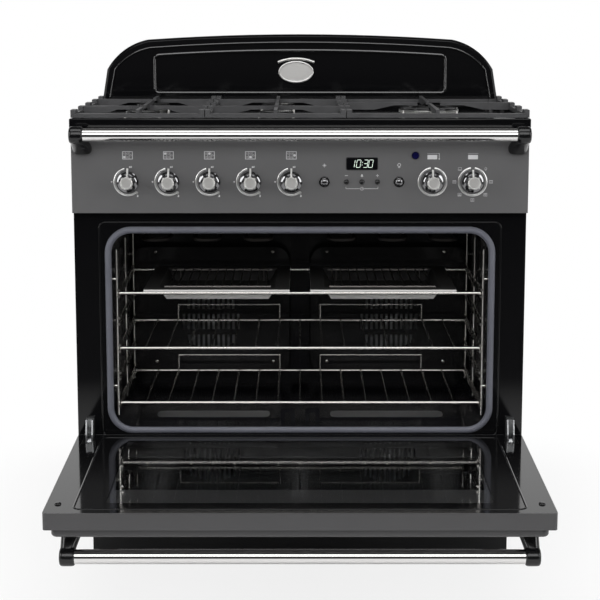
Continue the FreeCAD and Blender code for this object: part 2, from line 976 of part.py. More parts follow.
def door_outer_panel():
    side = door_half - door_panel_inset
    low, high = door_bottom + door_panel_inset, door_top - door_panel_inset
    shell = rounded_block((-side, side), (door_outer_face, door_face), (low, high), door_corner * 2)
    front_edges = [edge for edge in shell.Edges if edge.BoundBox.YMax < door_outer_face + 0.01]
    shell = shell.makeFillet(door_panel_round, front_edges)
    wall = door_sheet
    hollow = rounded_block(
        (-side + door_panel_round, side - door_panel_round),
        (door_outer_face + wall, door_face + 1),
        (low + door_panel_round, high - door_panel_round),
        door_corner,
    )
    return [shell.cut([hollow, window_tool()])]


def door_window_glass():
    front = door_outer_face + door_sheet
    return [
        block(
            (-window_half - window_lap, window_half + window_lap),
            (front, front + glass_sheet),
            (window_bottom - window_lap, window_crown + window_lap),
        )
    ]


def tangent_link(start, end, start_radius, end_radius, x, width):
    """A flat link around two circles in a plane across X."""
    (y0, z0), (y1, z1) = start, end
    length = math.hypot(y1 - y0, z1 - z0)
    aim = math.atan2(z1 - z0, y1 - y0)
    lean = math.acos((start_radius - end_radius) / length)
    points = []
    for y, z, radius in ((y0, z0, start_radius), (y1, z1, end_radius)):
        angles = (aim + lean, aim - lean)
        points.append([V(x, y + radius * math.cos(a), z + radius * math.sin(a)) for a in angles])
    outline = [points[0][0], points[1][0], points[1][1], points[0][1], points[0][0]]
    web = Part.Face(Part.makePolygon(outline)).extrude(V(width, 0, 0))
    ends = [
        rod((x, y, z), (x + width, y, z), radius)
        for y, z, radius in ((y0, z0, start_radius), (y1, z1, end_radius))
    ]
    return [web] + ends


def rail_bracket(face_y, stand_off, bar_z, bar_radius, bar_half):
    """The right-hand end bracket of a rail: a boss on the face, an arm, and a capped sleeve."""
    bar_y = face_y - stand_off
    sleeve_radius = bar_radius + sleeve_wall
    outer = bar_half + sleeve_wall
    inner = bar_half - sleeve_length + sleeve_wall
    sleeve = rod((inner, bar_y, bar_z), (outer, bar_y, bar_z), sleeve_radius)
    boss_z = bar_z - bracket_drop
    middle = (inner + outer) / 2
    boss_y = face_y - boss_length
    boss = rod((middle, face_y, boss_z), (middle, boss_y, boss_z), boss_radius)
    arm_radii = (bracket_arm / 2, sleeve_radius - 1)
    arm = tangent_link((boss_y, boss_z), (bar_y, bar_z), *arm_radii, middle - bracket_arm / 2, bracket_arm)
    bore = rod((inner - 1, bar_y, bar_z), (bar_half, bar_y, bar_z), bar_radius)
    return union([sleeve, boss] + arm).cut(bore)


def tube_across(y, z, radius, half_length):
    outer = rod((-half_length, y, z), (half_length, y, z), radius)
    return outer.cut(rod((-half_length - 1, y, z), (half_length + 1, y, z), radius - rail_tube))


def door_handle_bar():
    z = door_top - handle_drop
    return [tube_across(door_outer_face - handle_stand_off, z, handle_radius, handle_half)]


def door_handle_brackets():
    return both_sides(
        rail_bracket(door_outer_face, handle_stand_off, door_top - handle_drop, handle_radius, handle_half)
    )


def hinge_leaves():
    """The door's half of each hinge: a tongue round the pin, and a foot on the door tray."""
    floor = door_face + door_sheet
    x = (hinge_at - leaf_width / 2, hinge_at + leaf_width / 2)
    nose = rod((x[0], pivot_y, pivot_z), (x[1], pivot_y, pivot_z), leaf_nose)
    tongue = block(x, (floor, pivot_y), (pivot_z - leaf_nose, pivot_z + leaf_nose))
    foot = block(
        (x[0] - leaf_foot_margin, x[1] + leaf_foot_margin),
        (floor, floor + leaf_foot_sheet),
        (pivot_z - leaf_nose, pivot_z + leaf_nose * 4),
    )
    bore = rod((x[0] - 1, pivot_y, pivot_z), (x[1] + 1, pivot_y, pivot_z), pin_radius + running_clearance)
    return both_sides(union([nose, tongue, foot]).cut(bore))


# ---- fixed hinge half ----------------------------------------------------------------------

def hinge_cheek(x):
    """One of the two plates that come through the jamb and hold the pin."""
    nose = rod((x, pivot_y, pivot_z), (x + cheek_sheet, pivot_y, pivot_z), leaf_nose)
    root = block((x, x + cheek_sheet), (pivot_y, frame_sheet), (pivot_z - leaf_nose, pivot_z + leaf_nose))
    outline = [
        (frame_sheet, pivot_z),
        (pivot_y - leaf_nose, pivot_z),
        (pivot_y - leaf_nose, web_bottom),
        (pivot_y, cheek_top),
        (frame_sheet, cheek_top),
    ]
    return [nose, root, plate(outline, V(x + cheek_sheet / 2, 0, 0), V(0, 1, 0), V(0, 0, 1), cheek_sheet)]


def hinge_brackets():
    """Behind each jamb a flanged box, two cheeks that come through the jamb, and the pin."""
    x = (hinge_at - cheek_outer, hinge_at + cheek_outer)
    box = block(x, (frame_sheet, frame_sheet + hinge_box_depth), (pivot_z - leaf_nose, cheek_top))
    flange = block(
        (x[0] - hinge_flange, x[1] + hinge_flange),
        (frame_sheet, frame_sheet + hinge_flange_sheet),
        (pivot_z - leaf_nose - hinge_flange, cheek_top + hinge_flange),
    )
    cheeks = hinge_cheek(x[0]) + hinge_cheek(x[1] - cheek_sheet)
    web = block(
        (hinge_at - cheek_inner, hinge_at + cheek_inner),
        (pivot_y + web_setback, frame_sheet),
        (web_bottom, cheek_top),
    )
    pin = rod((x[0], pivot_y, pivot_z), (x[1], pivot_y, pivot_z), pin_radius)
    bracket = union([box, flange, web] + cheeks).cut(pin)
    return both_sides(bracket) + both_sides(pin)


# ---- control panel -------------------------------------------------------------------------

def gas_knob_places():
    """The gas knobs fill the panel from its left end to the ignition button, evenly."""
    pitch = (gas_knob_last - gas_knob_first) / (gas_knobs - 1)
    return spaced(gas_knobs, pitch, (gas_knob_first + gas_knob_last) / 2)


def clock_button_places():
    return spaced(3, clock_button_pitch, clock_at)


def panel_hole(x, z, radius):
    return rod((x, panel_face - 1, z), (x, panel_back + 1, z), radius)


def clock_window(y):
    return block(
        (clock_at - clock_window_width / 2, clock_at + clock_window_width / 2),
        y,
        (clock_height - clock_window_height / 2, clock_height + clock_window_height / 2),
    )


def control_panel():
    """The folded front panel with its holes for spindles, buttons, clock and neon."""
    shell = block((-half, half), (panel_face, 0), (panel_bottom, body_top))
    hollow = block(
        (-half + panel_sheet, half - panel_sheet),
        (panel_back, 1),
        (panel_bottom + panel_sheet, body_top - panel_sheet),
    )
    knobs = gas_knob_places() + [thermostat_at, function_at]
    holes = [panel_hole(x, knob_height, spindle_hole) for x in knobs]
    holes += [panel_hole(x, knob_height, button_radius + button_play) for x in (ignition_at, lamp_button_at)]
    holes += [panel_hole(x, knob_height, clock_button_radius + button_play) for x in clock_button_places()]
    holes.append(panel_hole(neon_at, neon_height, neon_radius))
    return [shell.cut([hollow, clock_window((panel_face - 1, panel_back + 1))] + holes)]


def control_knob(x):
    profile = [
        (0, knob_gap),
        (knob_skirt, knob_gap),
        (knob_skirt, knob_gap + 2),
        (knob_skirt - 3, knob_gap + 4),
        (knob_grip + 1.5, knob_gap + 6),
        (knob_grip, knob_gap + 9),
        (knob_grip, knob_reach - 2),
        (knob_grip - 2, knob_reach),
        (0, knob_reach),
    ]
    body = turned_forward(profile, x, panel_face, knob_height)
    fin = block(
        (x - knob_fin_width / 2, x + knob_fin_width / 2),
        (panel_face - knob_reach + knob_fin_setback, panel_face - knob_gap - 2),
        (knob_height, knob_height + knob_skirt - 2),
    )
    y = (panel_face - knob_gap - 1, panel_face + spindle_length)
    spindle = rod((x, y[0], knob_height), (x, y[1], knob_height), spindle_radius)
    return [union([body, fin, spindle])]


def spindle_bore(x):
    end = panel_face + spindle_length + end_play
    return rod((x, panel_back, knob_height), (x, end, knob_height), spindle_radius + running_clearance)


def box_behind_panel(x, width, height, depth):
    return block(
        (x - width / 2, x + width / 2),
        (panel_back, panel_back + depth),
        (knob_height - height / 2, knob_height + height / 2),
    )


def taps_and_switches():
    """Behind the panel: five gas taps on their supply pipe, two oven controls, two switches."""
    places = gas_knob_places()
    taps = [box_behind_panel(x, tap_width, tap_height, tap_depth) for x in places]
    pipe_y = panel_back + tap_depth
    pipe = rod(
        (places[0] - gas_pipe_overhang, pipe_y, knob_height),
        (places[-1] + gas_pipe_overhang, pipe_y, knob_height),
        gas_pipe_radius,
    )
    manifold = union(taps + [pipe]).cut([spindle_bore(x) for x in places])
    switches = [
        box_behind_panel(x, switch_width, switch_width, tap_depth).cut(spindle_bore(x))
        for x in (thermostat_at, function_at)
    ]
    seat = button_seat + button_travel + button_play
    for x in (ignition_at, lamp_button_at):
        case = box_behind_panel(x, push_switch_width, push_switch_width, push_switch_depth)
        pocket = rod((x, panel_back, knob_height), (x, seat, knob_height), button_radius + button_play)
        switches.append(case.cut(pocket))
    return [manifold] + switches


def dome_button(x):
    front = panel_face - button_reach + dome_height
    body = rod((x, front, knob_height), (x, button_seat, knob_height), button_radius)
    dome = Part.makeCone(
        button_radius, button_radius - dome_bevel, dome_height, V(x, front, knob_height), V(0, -1, 0)
    )
    return [union([body, dome])]


def clock_button(x):
    front = (x, panel_face - clock_button_reach, knob_height)
    return [rod(front, (x, button_seat, knob_height), clock_button_radius)]


def clock_display():
    """The clock's window in the panel, with the module behind it that its three buttons work."""
    front = button_seat + clock_button_travel + button_play
    case = block(
        (
            clock_at - clock_window_width / 2 - clock_case_margin,
            clock_at + clock_window_width / 2 + clock_case_margin,
        ),
        (front, front + clock_case_depth),
        (knob_height - clock_case_margin, clock_height + clock_window_height / 2 + clock_case_margin),
    )
    return [union([clock_window((panel_face - clock_proud, front + 1)), case])]


def hand_rail():
    return [tube_across(panel_face - hand_rail_stand_off, hand_rail_height, hand_rail_radius, hand_rail_half)]


def hand_rail_brackets():
    return both_sides(
        rail_bracket(panel_face, hand_rail_stand_off, hand_rail_height, hand_rail_radius, hand_rail_half)
    )


# ---- hob -----------------------------------------------------------------------------------

def support_sections():
    """The three pan supports as (name, low x, high x)."""
    first = -half + support_left_width
    second = first + support_centre_width
    gap = support_gap / 2
    return [
        ("pan_support_left", -half, first - gap),
        ("pan_support_centre", first + gap, second - gap),
        ("pan_support_right", second + gap, half),
    ]


def burner_places():
    """Each burner as (x, y, radius): two in the left and centre sections, one wide on the right."""
    middle = (support_front + support_rear) / 2
    quarter = (support_rear - support_front) / 4
    left, centre, right = [(low + high) / 2 for name, low, high in support_sections()]
    pairs = [(x, middle + step, burner_radius) for x in (left, centre) for step in (-quarter, quarter)]
    return pairs + [(right, middle, wok_radius)]


def hob_tray():
    """The pressed hob top: a rim all round, a sunken deck, and a raised shelf at the back."""
    slab = block((-hob_half, hob_half), (hob_front, body_depth), (body_top, hob_top))
    slab = slab.makeFillet(hob_edge, [e for e in slab.Edges if e.BoundBox.ZMin > hob_top - 0.01])
    side = hob_half - hob_rim
    recess = rounded_from_above(
        (-side, side), (hob_front + hob_rim, body_depth - hob_back_shelf), (hob_deck, hob_top + 1), hob_corner
    )
    inner = hob_half - hob_skirt
    under = block(
        (-inner, inner), (hob_front + hob_skirt, body_depth - hob_skirt), (body_top - 1, hob_deck - hob_sheet)
    )
    return [slab.cut([recess, under])]


def burner_bases():
    return [rod((x, y, hob_deck), (x, y, hob_deck + burner_base_height), r) for x, y, r in burner_places()]


def burner_caps():
    low = hob_deck + burner_base_height
    caps = []
    for x, y, r in burner_places():
        cap = rod((x, y, low), (x, y, low + cap_height), r - cap_inset)
        top_edges = [e for e in cap.Edges if e.BoundBox.ZMin > low + cap_height - 0.01]
        caps.append(cap.makeFillet(cap_round, top_edges))
    return caps


def finger(x, y, direction, root, clear_radius):
    """One arm that points at a burner: deep at its root, thin above the burner."""
    under_tip = support_top - finger_tip_height
    outline = [
        (root, support_low),
        (root, support_top),
        (finger_tip, support_top),
        (finger_tip, under_tip),
        (clear_radius, under_tip),
        (clear_radius + (root - clear_radius) * finger_arch, support_low),
    ]
    along = V(*direction)
    return plate(outline, V(x, y, 0), along, V(0, 0, 1), finger_width)


def pan_support(low, high):
    x = (low + high) / 2
    bar = support_bar_width
    bar_top = support_low + support_bar_height
    middle = (support_front + support_rear) / 2
    frame = block((low, high), (support_front, support_rear), (support_low, bar_top)).cut(
        block(
            (low + bar, high - bar),
            (support_front + bar, support_rear - bar),
            (support_low - 1, bar_top + 1),
        )
    )
    burners = [place for place in burner_places() if abs(place[0] - x) < 1]
    pieces = [frame]
    if len(burners) == 2:
        pieces.append(block((low, high), (middle - bar / 2, middle + bar / 2), (support_low, bar_top)))
    pitch = (support_rear - support_front - tooth_length) / (support_teeth - 1)
    for y in spaced(support_teeth, pitch, middle):
        for edge in ((low, low + bar), (high - bar, high)):
            tooth = (y - tooth_length / 2, y + tooth_length / 2)
            pieces.append(block(edge, tooth, (support_low, support_top)))
    for bx, by, radius in burners:
        clear = radius + burner_clearance
        reach_x = (high - low) / 2 - bar / 2
        reach_y = (support_rear - support_front) / (2 * len(burners)) - bar / 2
        pieces += [finger(bx, by, (s, 0, 0), reach_x, clear) for s in (-1, 1)]
        pieces += [finger(bx, by, (0, s, 0), reach_y, clear) for s in (-1, 1)]
    near, far = support_front + pad_setback, support_rear - pad_setback
    for px in (low + pad_inset, high - pad_inset):
        for py, lug in ((near, (support_front + 1, near)), (far, (far, support_rear - 1))):
            pieces.append(rod((px, py, hob_deck + rest_gap), (px, py, support_low + 1), pad_radius))
            pieces.append(block((px - bar / 2, px + bar / 2), lug, (support_low, bar_top)))
    return [union(pieces)]


# ---- splashback ----------------------------------------------------------------------------

def splash_outline(inset, y, low):
    """The splashback's outline, drawn in by a stated width: leaning sides and a low crown.

    The points on the slanting corner move in by the parts of that width which keep it even.
    """
    side_x = half - inset
    lean_x = side_x - splash_lean
    side_z = hob_top + splash_side
    shoulder_x, shoulder_z = splash_shoulder - inset * 0.4, hob_top + splash_shoulder_rise - inset
    corner_x = splash_corner - inset * 0.7
    corner_z = hob_top + splash_corner_rise - inset * 0.7
    crown = V(0, y, hob_top + splash_rise - inset)
    edges = [
        Part.LineSegment(V(-side_x, y, low), V(side_x, y, low)),
        Part.LineSegment(V(side_x, y, low), V(lean_x, y, side_z)),
        Part.Arc(V(lean_x, y, side_z), V(corner_x, y, corner_z), V(shoulder_x, y, shoulder_z)),
        Part.Arc(V(shoulder_x, y, shoulder_z), crown, V(-shoulder_x, y, shoulder_z)),
        Part.Arc(V(-shoulder_x, y, shoulder_z), V(-corner_x, y, corner_z), V(-lean_x, y, side_z)),
        Part.LineSegment(V(-lean_x, y, side_z), V(-side_x, y, low)),
    ]
    return Part.Wire([edge.toShape() for edge in edges])


def splashback():
    """A shaped board with a bevelled edge, a stepped border and a sunken middle field."""
    edge_y = splash_front + splash_round
    slab = Part.Face(splash_outline(0, edge_y, hob_top)).extrude(V(0, splash_depth - splash_round, 0))
    wires = [splash_outline(splash_round, splash_front, hob_top), splash_outline(0, edge_y, hob_top)]
    bevel = Part.makeLoft(wires, True, True)
    low = hob_top + splash_border / 2
    step = Part.Face(splash_outline(splash_border, splash_front - 1, low)).extrude(V(0, 1 + splash_step, 0))
    field = rounded_block(
        (-field_half, field_half),
        (splash_front - 1, splash_front + splash_step + field_step),
        (field_bottom, field_bottom + field_height),
        field_corner,
    )
    return [union([slab, bevel]).cut([step, field])]


# ---- drawer --------------------------------------------------------------------------------

def drawer_front():
    """A folded panel, open along its lower edge."""
    y = (-door_gap - drawer_front_depth, -door_gap)
    z = (drawer_front_bottom, drawer_front_top)
    shell = rounded_block((-door_half, door_half), y, z, door_corner)
    wall = drawer_front_sheet
    hollow = block(
        (-door_half + door_corner, door_half - door_corner),
        (y[0] + wall, y[1] - wall),
        (z[0] - 1, z[1] - wall),
    )
    return [shell.cut(hollow)]


def drawer_box():
    z = (drawer_floor, drawer_floor + drawer_wall_height)
    y = (-door_gap, -door_gap + drawer_length)
    wall = drawer_sheet
    tray = block((-drawer_half, drawer_half), y, z)
    hollow = block(
        (-drawer_half + wall, drawer_half - wall), (y[0] + wall, y[1] - wall), (z[0] + wall, z[1] + 1)
    )
    return [tray.cut(hollow)]


def drawer_runners():
    """A ledge under each side of the drawer box and a wall that guides it."""
    low = body_bottom + base_height
    y = (frame_sheet, drawer_length)
    outer = drawer_half + drawer_play + runner_wall
    ledge = block((drawer_half - runner_shelf, outer), y, (low, drawer_floor - drawer_play))
    web = block((drawer_half + drawer_play, outer), y, (low, low + runner_height))
    return both_sides(union([ledge, web]))


def terminal_box():
    """The mains terminal box on the back panel, and the gas inlet elbow beside it."""
    rear = body_depth - back_sheet
    case = block(
        (terminal_at - terminal_width / 2, terminal_at + terminal_width / 2),
        (rear - terminal_depth, rear),
        (terminal_bottom, terminal_bottom + terminal_height),
    )
    inlet = rod((inlet_at, rear - inlet_length, inlet_height), (inlet_at, rear, inlet_height), inlet_radius)
    return [case, inlet]


# ---- every piece and its name --------------------------------------------------------------

pieces = {
    "side_panels": side_panels(),
    "back_panel": back_panel(),
    "base_frame": base_frame(),
    "front_frame": front_frame(),
    "feet": feet(),
    "plinth": plinth(),
    "oven_liner": oven_liner(),
    "oven_insulation": oven_insulation(),
    "door_seal": door_seal(),
    "fan_covers": fan_covers(),
    "fan_left": fan(-fan_at),
    "fan_right": fan(fan_at),
    "fan_motors": fan_motors(),
    "oven_elements": oven_elements(),
    "lamp_lenses": lamp_lenses(),
    "shelf_racks": shelf_racks(),
    "grill_frame": grill_frame(),
    "shelf_middle": shelf(middle_level),
    "shelf_bottom": shelf(bottom_level),
    "grill_pan_left": grill_pan(-pan_centre),
    "grill_pan_right": grill_pan(pan_centre),
    "grill_trivet_left": grill_trivet(-pan_centre),
    "grill_trivet_right": grill_trivet(pan_centre),
    "hinge_brackets": hinge_brackets(),
    "control_panel": control_panel(),
    "taps_and_switches": taps_and_switches(),
    "thermostat_knob": control_knob(thermostat_at),
    "function_knob": control_knob(function_at),
    "ignition_button": dome_button(ignition_at),
    "lamp_button": dome_button(lamp_button_at),
    "clock_display": clock_display(),
    "hand_rail": hand_rail(),
    "hand_rail_brackets": hand_rail_brackets(),
    "hob_tray": hob_tray(),
    "burner_bases": burner_bases(),
    "burner_caps": burner_caps(),
    "splashback": splashback(),
    "drawer_front": drawer_front(),
    "drawer_box": drawer_box(),
    "drawer_runners": drawer_runners(),
    "terminal_box": terminal_box(),
}
for number, place in enumerate(gas_knob_places(), 1):
    pieces[f"gas_knob_{number}"] = control_knob(place)
for number, place in enumerate(clock_button_places(), 1):
    pieces[f"clock_button_{number}"] = clock_button(place)
for name, low, high in support_sections():
    pieces[name] = pan_support(low, high)

door_pieces = {
    "door_tray": door_tray(),
    "door_inner_panel": door_inner_panel(),
    "door_inner_glass": door_inner_glass(),
    "door_outer_panel": door_outer_panel(),
    "door_window_glass": door_window_glass(),
    "door_handle_bar": door_handle_bar(),
    "door_handle_brackets": door_handle_brackets(),
    "hinge_leaves": hinge_leaves(),
}
for name, solids in door_pieces.items():
    pieces[name] = [swung_open(solid) for solid in solids]

os.makedirs("parts", exist_ok=True)
for name, solids in pieces.items():
    shape = solids[0] if len(solids) == 1 else Part.makeCompound(solids)
    shape = shape.copy()
    shape.translate(V(0, origin_shift, 0))
    if not shape.isValid() or len(shape.Solids) != len(solids):
        print(name, "valid:", shape.isValid(), "solids:", len(shape.Solids), "of", len(solids))
    shape.exportStep(f"parts/{name}.step")
print(len(pieces), "pieces; origin shift", round(origin_shift, 3))
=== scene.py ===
from math import asin, atan2, copysign, cos, degrees, hypot, pi, radians, sin, sqrt

import bmesh
import bpy
from mathutils import Matrix, Vector


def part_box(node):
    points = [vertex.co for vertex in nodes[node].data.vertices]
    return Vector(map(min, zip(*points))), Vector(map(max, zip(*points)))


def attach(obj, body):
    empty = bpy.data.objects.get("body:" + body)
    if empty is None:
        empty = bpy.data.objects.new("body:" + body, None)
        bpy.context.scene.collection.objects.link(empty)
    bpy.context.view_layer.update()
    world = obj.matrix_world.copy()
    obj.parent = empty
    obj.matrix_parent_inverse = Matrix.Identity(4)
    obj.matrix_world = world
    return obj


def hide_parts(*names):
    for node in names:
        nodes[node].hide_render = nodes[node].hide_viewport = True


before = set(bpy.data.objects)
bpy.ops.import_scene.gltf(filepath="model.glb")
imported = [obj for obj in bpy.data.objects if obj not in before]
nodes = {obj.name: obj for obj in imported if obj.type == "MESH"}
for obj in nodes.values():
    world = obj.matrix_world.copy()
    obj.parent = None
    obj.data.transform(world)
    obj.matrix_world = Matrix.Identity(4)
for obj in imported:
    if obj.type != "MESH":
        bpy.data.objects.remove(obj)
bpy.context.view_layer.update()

scene = bpy.context.scene
mm = 0.001
bodyFront = -36.424  # where the body's front face stands in the frame, mm
print("frame loaded:", len(nodes), "nodes")


class Value:
    # wraps one output socket, so that sums and products are written as Python
    def __init__(self, maker, socket):
        self.maker, self.socket = maker, socket

    def maths(self, operation, other=0.0):
        return self.maker.node("Math", {"operation": operation}, {0: self, 1: other}).out()

    def __add__(self, other):
        return self.maths("ADD", other)

    def __sub__(self, other):
        return self.maths("SUBTRACT", other)

    def __rsub__(self, other):
        return (self - other) * -1.0

    def __mul__(self, other):
        return self.maths("MULTIPLY", other)

    def __truediv__(self, other):
        return self.maths("DIVIDE", other)

    def __pow__(self, other):
        return self.maths("POWER", other)

    def __abs__(self):
        return self.maths("ABSOLUTE")

    def atLeast(self, other):
        return self.maths("MAXIMUM", other)

    def atMost(self, other):
        return self.maths("MINIMUM", other)

    __radd__ = __add__
    __rmul__ = __mul__


class Node:
    def __init__(self, maker, node):
        self.maker, self.node = maker, node

    def out(self, name=0):
        return Value(self.maker, self.node.outputs[name])


class Finish:
    # one material, or the world: node() adds any node, surface() sets or links the shader's inputs
    def __init__(self, name, world=None):
        self.material = world or bpy.data.materials.new(name)
        self.material.use_nodes = True
        self.tree = self.material.node_tree
        self.tree.nodes.clear()
        if world is None:
            self.shader = self.node("BsdfPrincipled")
            self.output = self.node("OutputMaterial", {}, {"Surface": self.shader.out()})

    def node(self, kind, settings={}, sockets={}):
        # the settings are set first, a ramp's stops among them, then the sockets' values or links
        made = self.tree.nodes.new("ShaderNode" + kind)
        for key, value in settings.items():
            if key == "stops":
                elements = made.color_ramp.elements
                for n, (place, colour) in enumerate(value):
                    stop = elements[n] if n < len(elements) else elements.new(place)
                    stop.position, stop.color = place, (*colour, 1)
            else:
                setattr(made, key, value)
        for key, value in sockets.items():
            self.plug(made.inputs[key], value)
        return Node(self, made)

    def plug(self, socket, value):
        if isinstance(value, Value):
            self.tree.links.new(value.socket, socket)
        elif socket.type == "RGBA":
            socket.default_value = (*value, 1)
        else:
            socket.default_value = value

    def surface(self, **values):
        for key, value in values.items():
            self.plug(self.shader.node.inputs[socketNames[key]], value)
        return self.material

    def place(self):
        return self.node("TexCoord").out("Object")

    def noise(self, scale, detail=3.0, roughness=0.5, stretch=None):
        where = self.place()
        if stretch:
            where = self.node("Mapping", {}, {"Vector": where, "Scale": stretch}).out()
        sockets = {"Vector": where, "Scale": scale, "Detail": detail, "Roughness": roughness}
        return self.node("TexNoise", {}, sockets).out()

    def cells(self, scale):
        return self.node("TexVoronoi", {}, {"Vector": self.place(), "Scale": scale})

    def ramp(self, value, stops):
        return self.node("ValToRGB", {"stops": stops}, {"Fac": value}).out("Color")

    def between(self, factor, low, high):
        return self.node("Mix", {"data_type": "RGBA"}, {"Factor": factor, 6: low, 7: high}).out(2)

    def shades(self, factor, colour, share):
        # from a darker share of a colour up to the colour itself
        return self.between(factor, tuple(c * share for c in colour), colour)

    def bump(self, height, distance, strength=0.5):
        return self.node("Bump", {}, {"Height": height, "Distance": distance, "Strength": strength}).out()


socketNames = {
    "colour": "Base Color",
    "roughness": "Roughness",
    "metal": "Metallic",
    "coat": "Coat Weight",
    "coatRoughness": "Coat Roughness",
    "glow": "Emission Color",
    "glowStrength": "Emission Strength",
    "normal": "Normal",
    "ior": "IOR",
    "clear": "Transmission Weight",
    "specular": "Specular IOR Level",
}


def enamel(name, colour, roughness, specular=0.5, coat=0.1):
    # sprayed and fired enamel: a faint orange peel, and gloss that wanders a little
    f = Finish(name)
    cloud = f.noise(9.0, 4.0)
    fine = f.noise(420.0, 2.0)
    return f.surface(
        coatRoughness=roughness * 0.5, specular=specular,
        colour=f.shades(cloud, colour, 0.9),
        roughness=roughness + (cloud - 0.5) * 0.05,
        coat=coat + (cloud - 0.5) * 0.04,
        normal=f.bump(fine, 0.00002, 0.3),
    )


def speckledEnamel(name):
    # oven enamel: black, with the fine grey grains that hide scratches
    f = Finish(name)
    grain = f.cells(900.0).out("Distance")
    stops = [(0.0, (0.03, 0.03, 0.034)), (0.15, (0.004, 0.004, 0.0055)), (1.0, (0.003, 0.003, 0.004))]
    return f.surface(
        specular=0.3, colour=f.ramp(grain, stops),
        roughness=0.14 + f.noise(30.0) * 0.12,
        normal=f.bump(f.noise(300.0), 0.00003, 0.4),
    )


def chrome(name, colour=(0.80, 0.79, 0.78), roughness=0.05):
    # plated steel: clean bands of reflection, with the faintest haze
    f = Finish(name)
    haze = f.noise(14.0, 5.0)
    return f.surface(
        metal=1.0, colour=f.shades(haze, colour, 0.95),
        roughness=roughness + haze * 0.04,
    )


def brushed(name, colour, roughness, stretch):
    # fine scratches drawn out along one direction
    f = Finish(name)
    lines = f.noise(300.0, 4.0, 0.6, stretch)
    return f.surface(
        metal=1.0, colour=f.shades(lines, colour, 0.8),
        roughness=roughness + lines * 0.14,
        normal=f.bump(lines, 0.00003),
    )


def panSheet(name):
    # a pressed pan: bright metal outside, dark enamel on the faces that lie upwards
    f = Finish(name)
    lines = f.noise(300.0, 4.0, 0.6, (1.0, 30.0, 30.0))
    upward = f.node("SeparateXYZ", {}, {0: f.node("NewGeometry").out("Normal")}).out("Z")
    inside = ((upward - 0.05) * 6.0).atLeast(0.0).atMost(1.0)
    return f.surface(
        metal=0.35, colour=f.between(inside, (0.80, 0.79, 0.77), (0.04, 0.039, 0.038)),
        roughness=0.34 + lines * 0.12,
        normal=f.bump(lines, 0.00003),
    )


def castIron(name):
    # sand-cast and matt enamelled: pitted, with a lighter bloom
    f = Finish(name)
    pits = f.noise(520.0, 5.0, 0.65)
    bloom = f.noise(26.0, 4.0)
    return f.surface(
        specular=0.4, colour=f.between(bloom, (0.038, 0.038, 0.040), (0.080, 0.080, 0.083)),
        roughness=0.36 + pits * 0.2,
        normal=f.bump(pits, 0.0003, 0.6),
    )


def zinc(name):
    # galvanised sheet, with its spangle
    f = Finish(name)
    spangle = f.cells(70.0).out("Color")
    grey = f.node("RGBToBW", {}, {"Color": spangle}).out()
    return f.surface(
        metal=1.0, colour=f.between(grey, (0.42, 0.43, 0.44), (0.60, 0.61, 0.62)),
        roughness=0.3 + grey * 0.2,
        normal=f.bump(f.noise(120.0), 0.00005),
    )


def mineralWool(name):
    f = Finish(name)
    fibres = f.noise(180.0, 8.0, 0.75, (1.0, 4.0, 1.0))
    return f.surface(
        colour=f.between(fibres, (0.30, 0.26, 0.17), (0.62, 0.56, 0.40)),
        roughness=0.85 + fibres * 0.1,
        normal=f.bump(fibres, 0.0012, 0.9),
    )


def gasket(name):
    # silicone over a braided core: the braid shows faintly
    f = Finish(name)
    braid = f.cells(420.0).out("Distance")
    return f.surface(
        colour=f.between(f.noise(14.0), (0.085, 0.088, 0.11), (0.13, 0.135, 0.16)),
        roughness=0.34 + braid * 0.2,
        normal=f.bump(braid, 0.00015, 0.3),
    )


def moulded(name, colour, roughness):
    # moulded plastic, rubber or ceramic with a fine grain
    f = Finish(name)
    grain = f.noise(900.0, 2.0)
    return f.surface(
        colour=f.shades(f.noise(20.0), colour, 0.85),
        roughness=roughness + grain * 0.1,
        normal=f.bump(grain, 0.00004, 0.4),
    )


def glass(name, tint, roughness, clear):
    f = Finish(name)
    smear = f.noise(7.0, 5.0, 0.6)
    return f.surface(
        ior=1.5, clear=clear,
        colour=f.shades(smear, tint, 0.95),
        roughness=roughness + smear * 0.02,
    )


def litGlow(name, colour, strength):
    f = Finish(name)
    ripple = f.noise(300.0)
    return f.surface(
        glowStrength=strength,
        roughness=0.4,
        colour=f.shades(ripple, colour, 0.5),
        glow=f.shades(ripple, colour, 0.9),
    )


def oxidised(name):
    # a heating element after use: steel gone blue, brown and grey
    f = Finish(name)
    patches = f.noise(18.0, 4.0)
    stops = [(0.3, (0.012, 0.011, 0.011)), (0.55, (0.022, 0.019, 0.017)), (0.8, (0.016, 0.017, 0.02))]
    return f.surface(
        metal=0.7, colour=f.ramp(patches, stops),
        roughness=0.5 + patches * 0.2,
        normal=f.bump(f.noise(600.0), 0.00008),
    )


jet = (0.004, 0.004, 0.0045)
satin = (0.007, 0.007, 0.0075)
